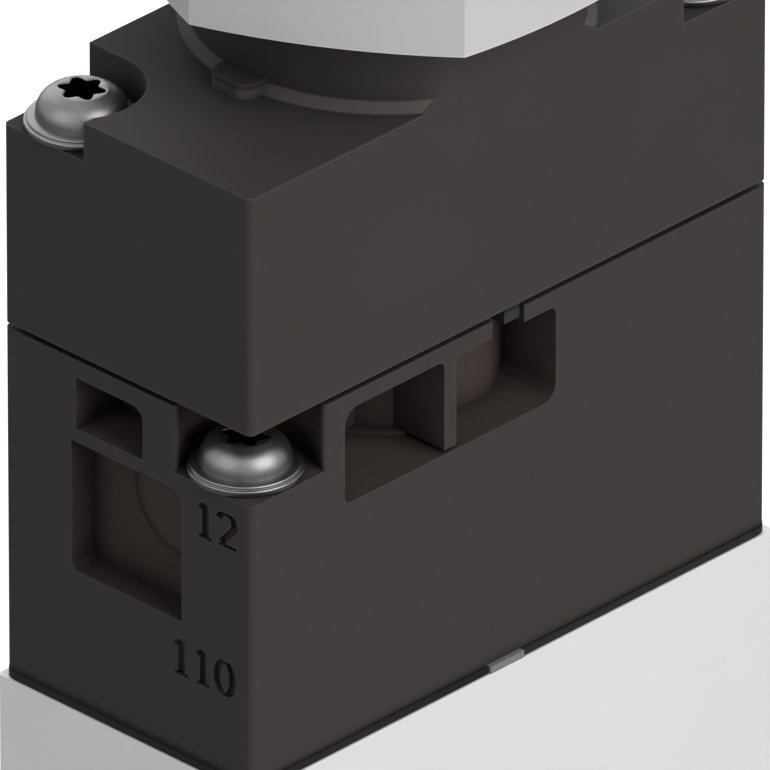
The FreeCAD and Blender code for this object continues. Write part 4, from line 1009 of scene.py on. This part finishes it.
def place_camera():
    """A long lens at the photograph's angle, turned so that the frame's middle is centred."""
    back = direction(CAMERA_AZIMUTH, CAMERA_ELEVATION)
    right = Vector((math.cos(CAMERA_AZIMUTH), math.sin(CAMERA_AZIMUTH), 0.0))
    above = back.cross(right)
    aside = PHOTO_PIXELS / 2 - AXIS_PIXEL[0]
    down = PHOTO_PIXELS / 2 - AXIS_PIXEL[1]
    ahead = (-back * FOCAL_PIXELS + right * aside - above * down).normalized()
    camera = bpy.data.cameras.new("photo_view")
    camera.sensor_width = SENSOR
    camera.lens = SENSOR * FOCAL_PIXELS / PHOTO_PIXELS
    camera.clip_start = 0.05
    camera.clip_end = 50.0
    made = bpy.data.objects.new("photo_view", camera)
    bpy.context.scene.collection.objects.link(made)
    across = ahead.cross(Vector((0, 0, 1))).normalized()
    turn = Matrix((across, across.cross(ahead), -ahead)).transposed().to_4x4()
    made.matrix_world = Matrix.Translation(AXIS_POINT + back * CAMERA_DISTANCE) @ turn
    bpy.context.scene.camera = made


def softbox(name, azimuth, elevation, distance, size, level):
    """A square lamp facing the valve; level 1 lights a facing surface to its own colour."""
    lamp = bpy.data.lights.new(name, "AREA")
    lamp.shape = "SQUARE"
    lamp.size = size
    lamp.energy = level * math.pi**2 * distance**2
    made = bpy.data.objects.new(name, lamp)
    bpy.context.scene.collection.objects.link(made)
    towards = direction(math.radians(azimuth), math.radians(elevation))
    made.location = LAMP_TARGET + towards * distance
    made.rotation_euler = towards.to_track_quat("Z", "Y").to_euler()


def studio():
    """White to the camera and in reflections, and a soft even light on the valve."""
    world = bpy.data.worlds.new("studio")
    bpy.context.scene.world = world
    world.use_nodes = True
    tree = world.node_tree
    background = tree.nodes["Background"]
    background.inputs["Color"].default_value = (1, 1, 1, 1)
    rays = tree.nodes.new("ShaderNodeLightPath")
    seen = tree.nodes.new("ShaderNodeMath")
    seen.operation = "MAXIMUM"
    tree.links.new(rays.outputs["Is Camera Ray"], seen.inputs[0])
    tree.links.new(rays.outputs["Is Glossy Ray"], seen.inputs[1])
    strength = tree.nodes.new("ShaderNodeMix")
    strength.inputs[2].default_value = AMBIENT
    strength.inputs[3].default_value = 1.0
    tree.links.new(seen.outputs[0], strength.inputs[0])
    tree.links.new(strength.outputs[0], background.inputs["Strength"])


def pale_floor():
    """A round white floor just under the foot: it glows to the camera and takes shadow."""
    radii, levels = np.array([0.0, FLOOR_RADIUS]), np.full(2, -FLOOR_DROP)
    points = turned_surface(radii, levels, (0, 0), FLOOR_COLUMNS)
    mesh = bpy.data.meshes.new("floor")
    mesh.from_pydata(points.tolist(), [], grid_faces(2, FLOOR_COLUMNS)[:, ::-1].tolist())
    mesh.validate()
    floor = bpy.data.objects.new("floor", mesh)
    bpy.context.scene.collection.objects.link(floor)
    finish = Finish("white_floor", Roughness=0.9, Specular_IOR_Level=0.0)
    seen = finish.node("ShaderNodeLightPath", output="Is Camera Ray")
    mirrored = finish.node("ShaderNodeLightPath", output="Is Glossy Ray")
    finish.set("Base Color", finish.between(mirrored, FLOOR_COLOUR, FLOOR_IN_REFLECTIONS))
    finish.set("Emission Color", finish.between(seen, (0.0, 0.0, 0.0), FLOOR_GLOW))
    finish.set("Emission Strength", 1.0)
    mesh.materials.append(finish.material)


# The valve and its studio

dress_solids()
flanged_screws("flanged_pilot_screws", "pilot_screws")
flanged_screws("flanged_actuator_screws", "actuator_screws")
cap_screws()
port_threads()
press_button()
softened("actuator_housing", "upper_housing", "dark_polymer", EDGE_ROUND, CORNER_ROUND)
windowed_housing()
cut_gasket()
coil("button_spring", "button_coil")
coil("poppet_spring", "poppet_coil")
coil("return_spring", "return_coil")
softened("end_cap", "foot_cap", "dark_polymer", EDGE_ROUND, CORNER_ROUND)
softened("valve_body", "metal_body", "body_aluminium", BODY_EDGE_ROUND)
softened("panel_nut", "hexagon_nut", "light_polymer", NUT_EDGE_ROUND)

place_camera()
studio()
pale_floor()
softbox("key", azimuth=6, elevation=33, distance=1.2, size=1.0, level=0.93)
softbox("side_fill", azimuth=-100, elevation=32, distance=1.2, size=1.0, level=0.22)
softbox("back_fill", azimuth=150, elevation=30, distance=1.2, size=1.2, level=0.35)

bpy.context.scene.view_settings.view_transform = "Standard"
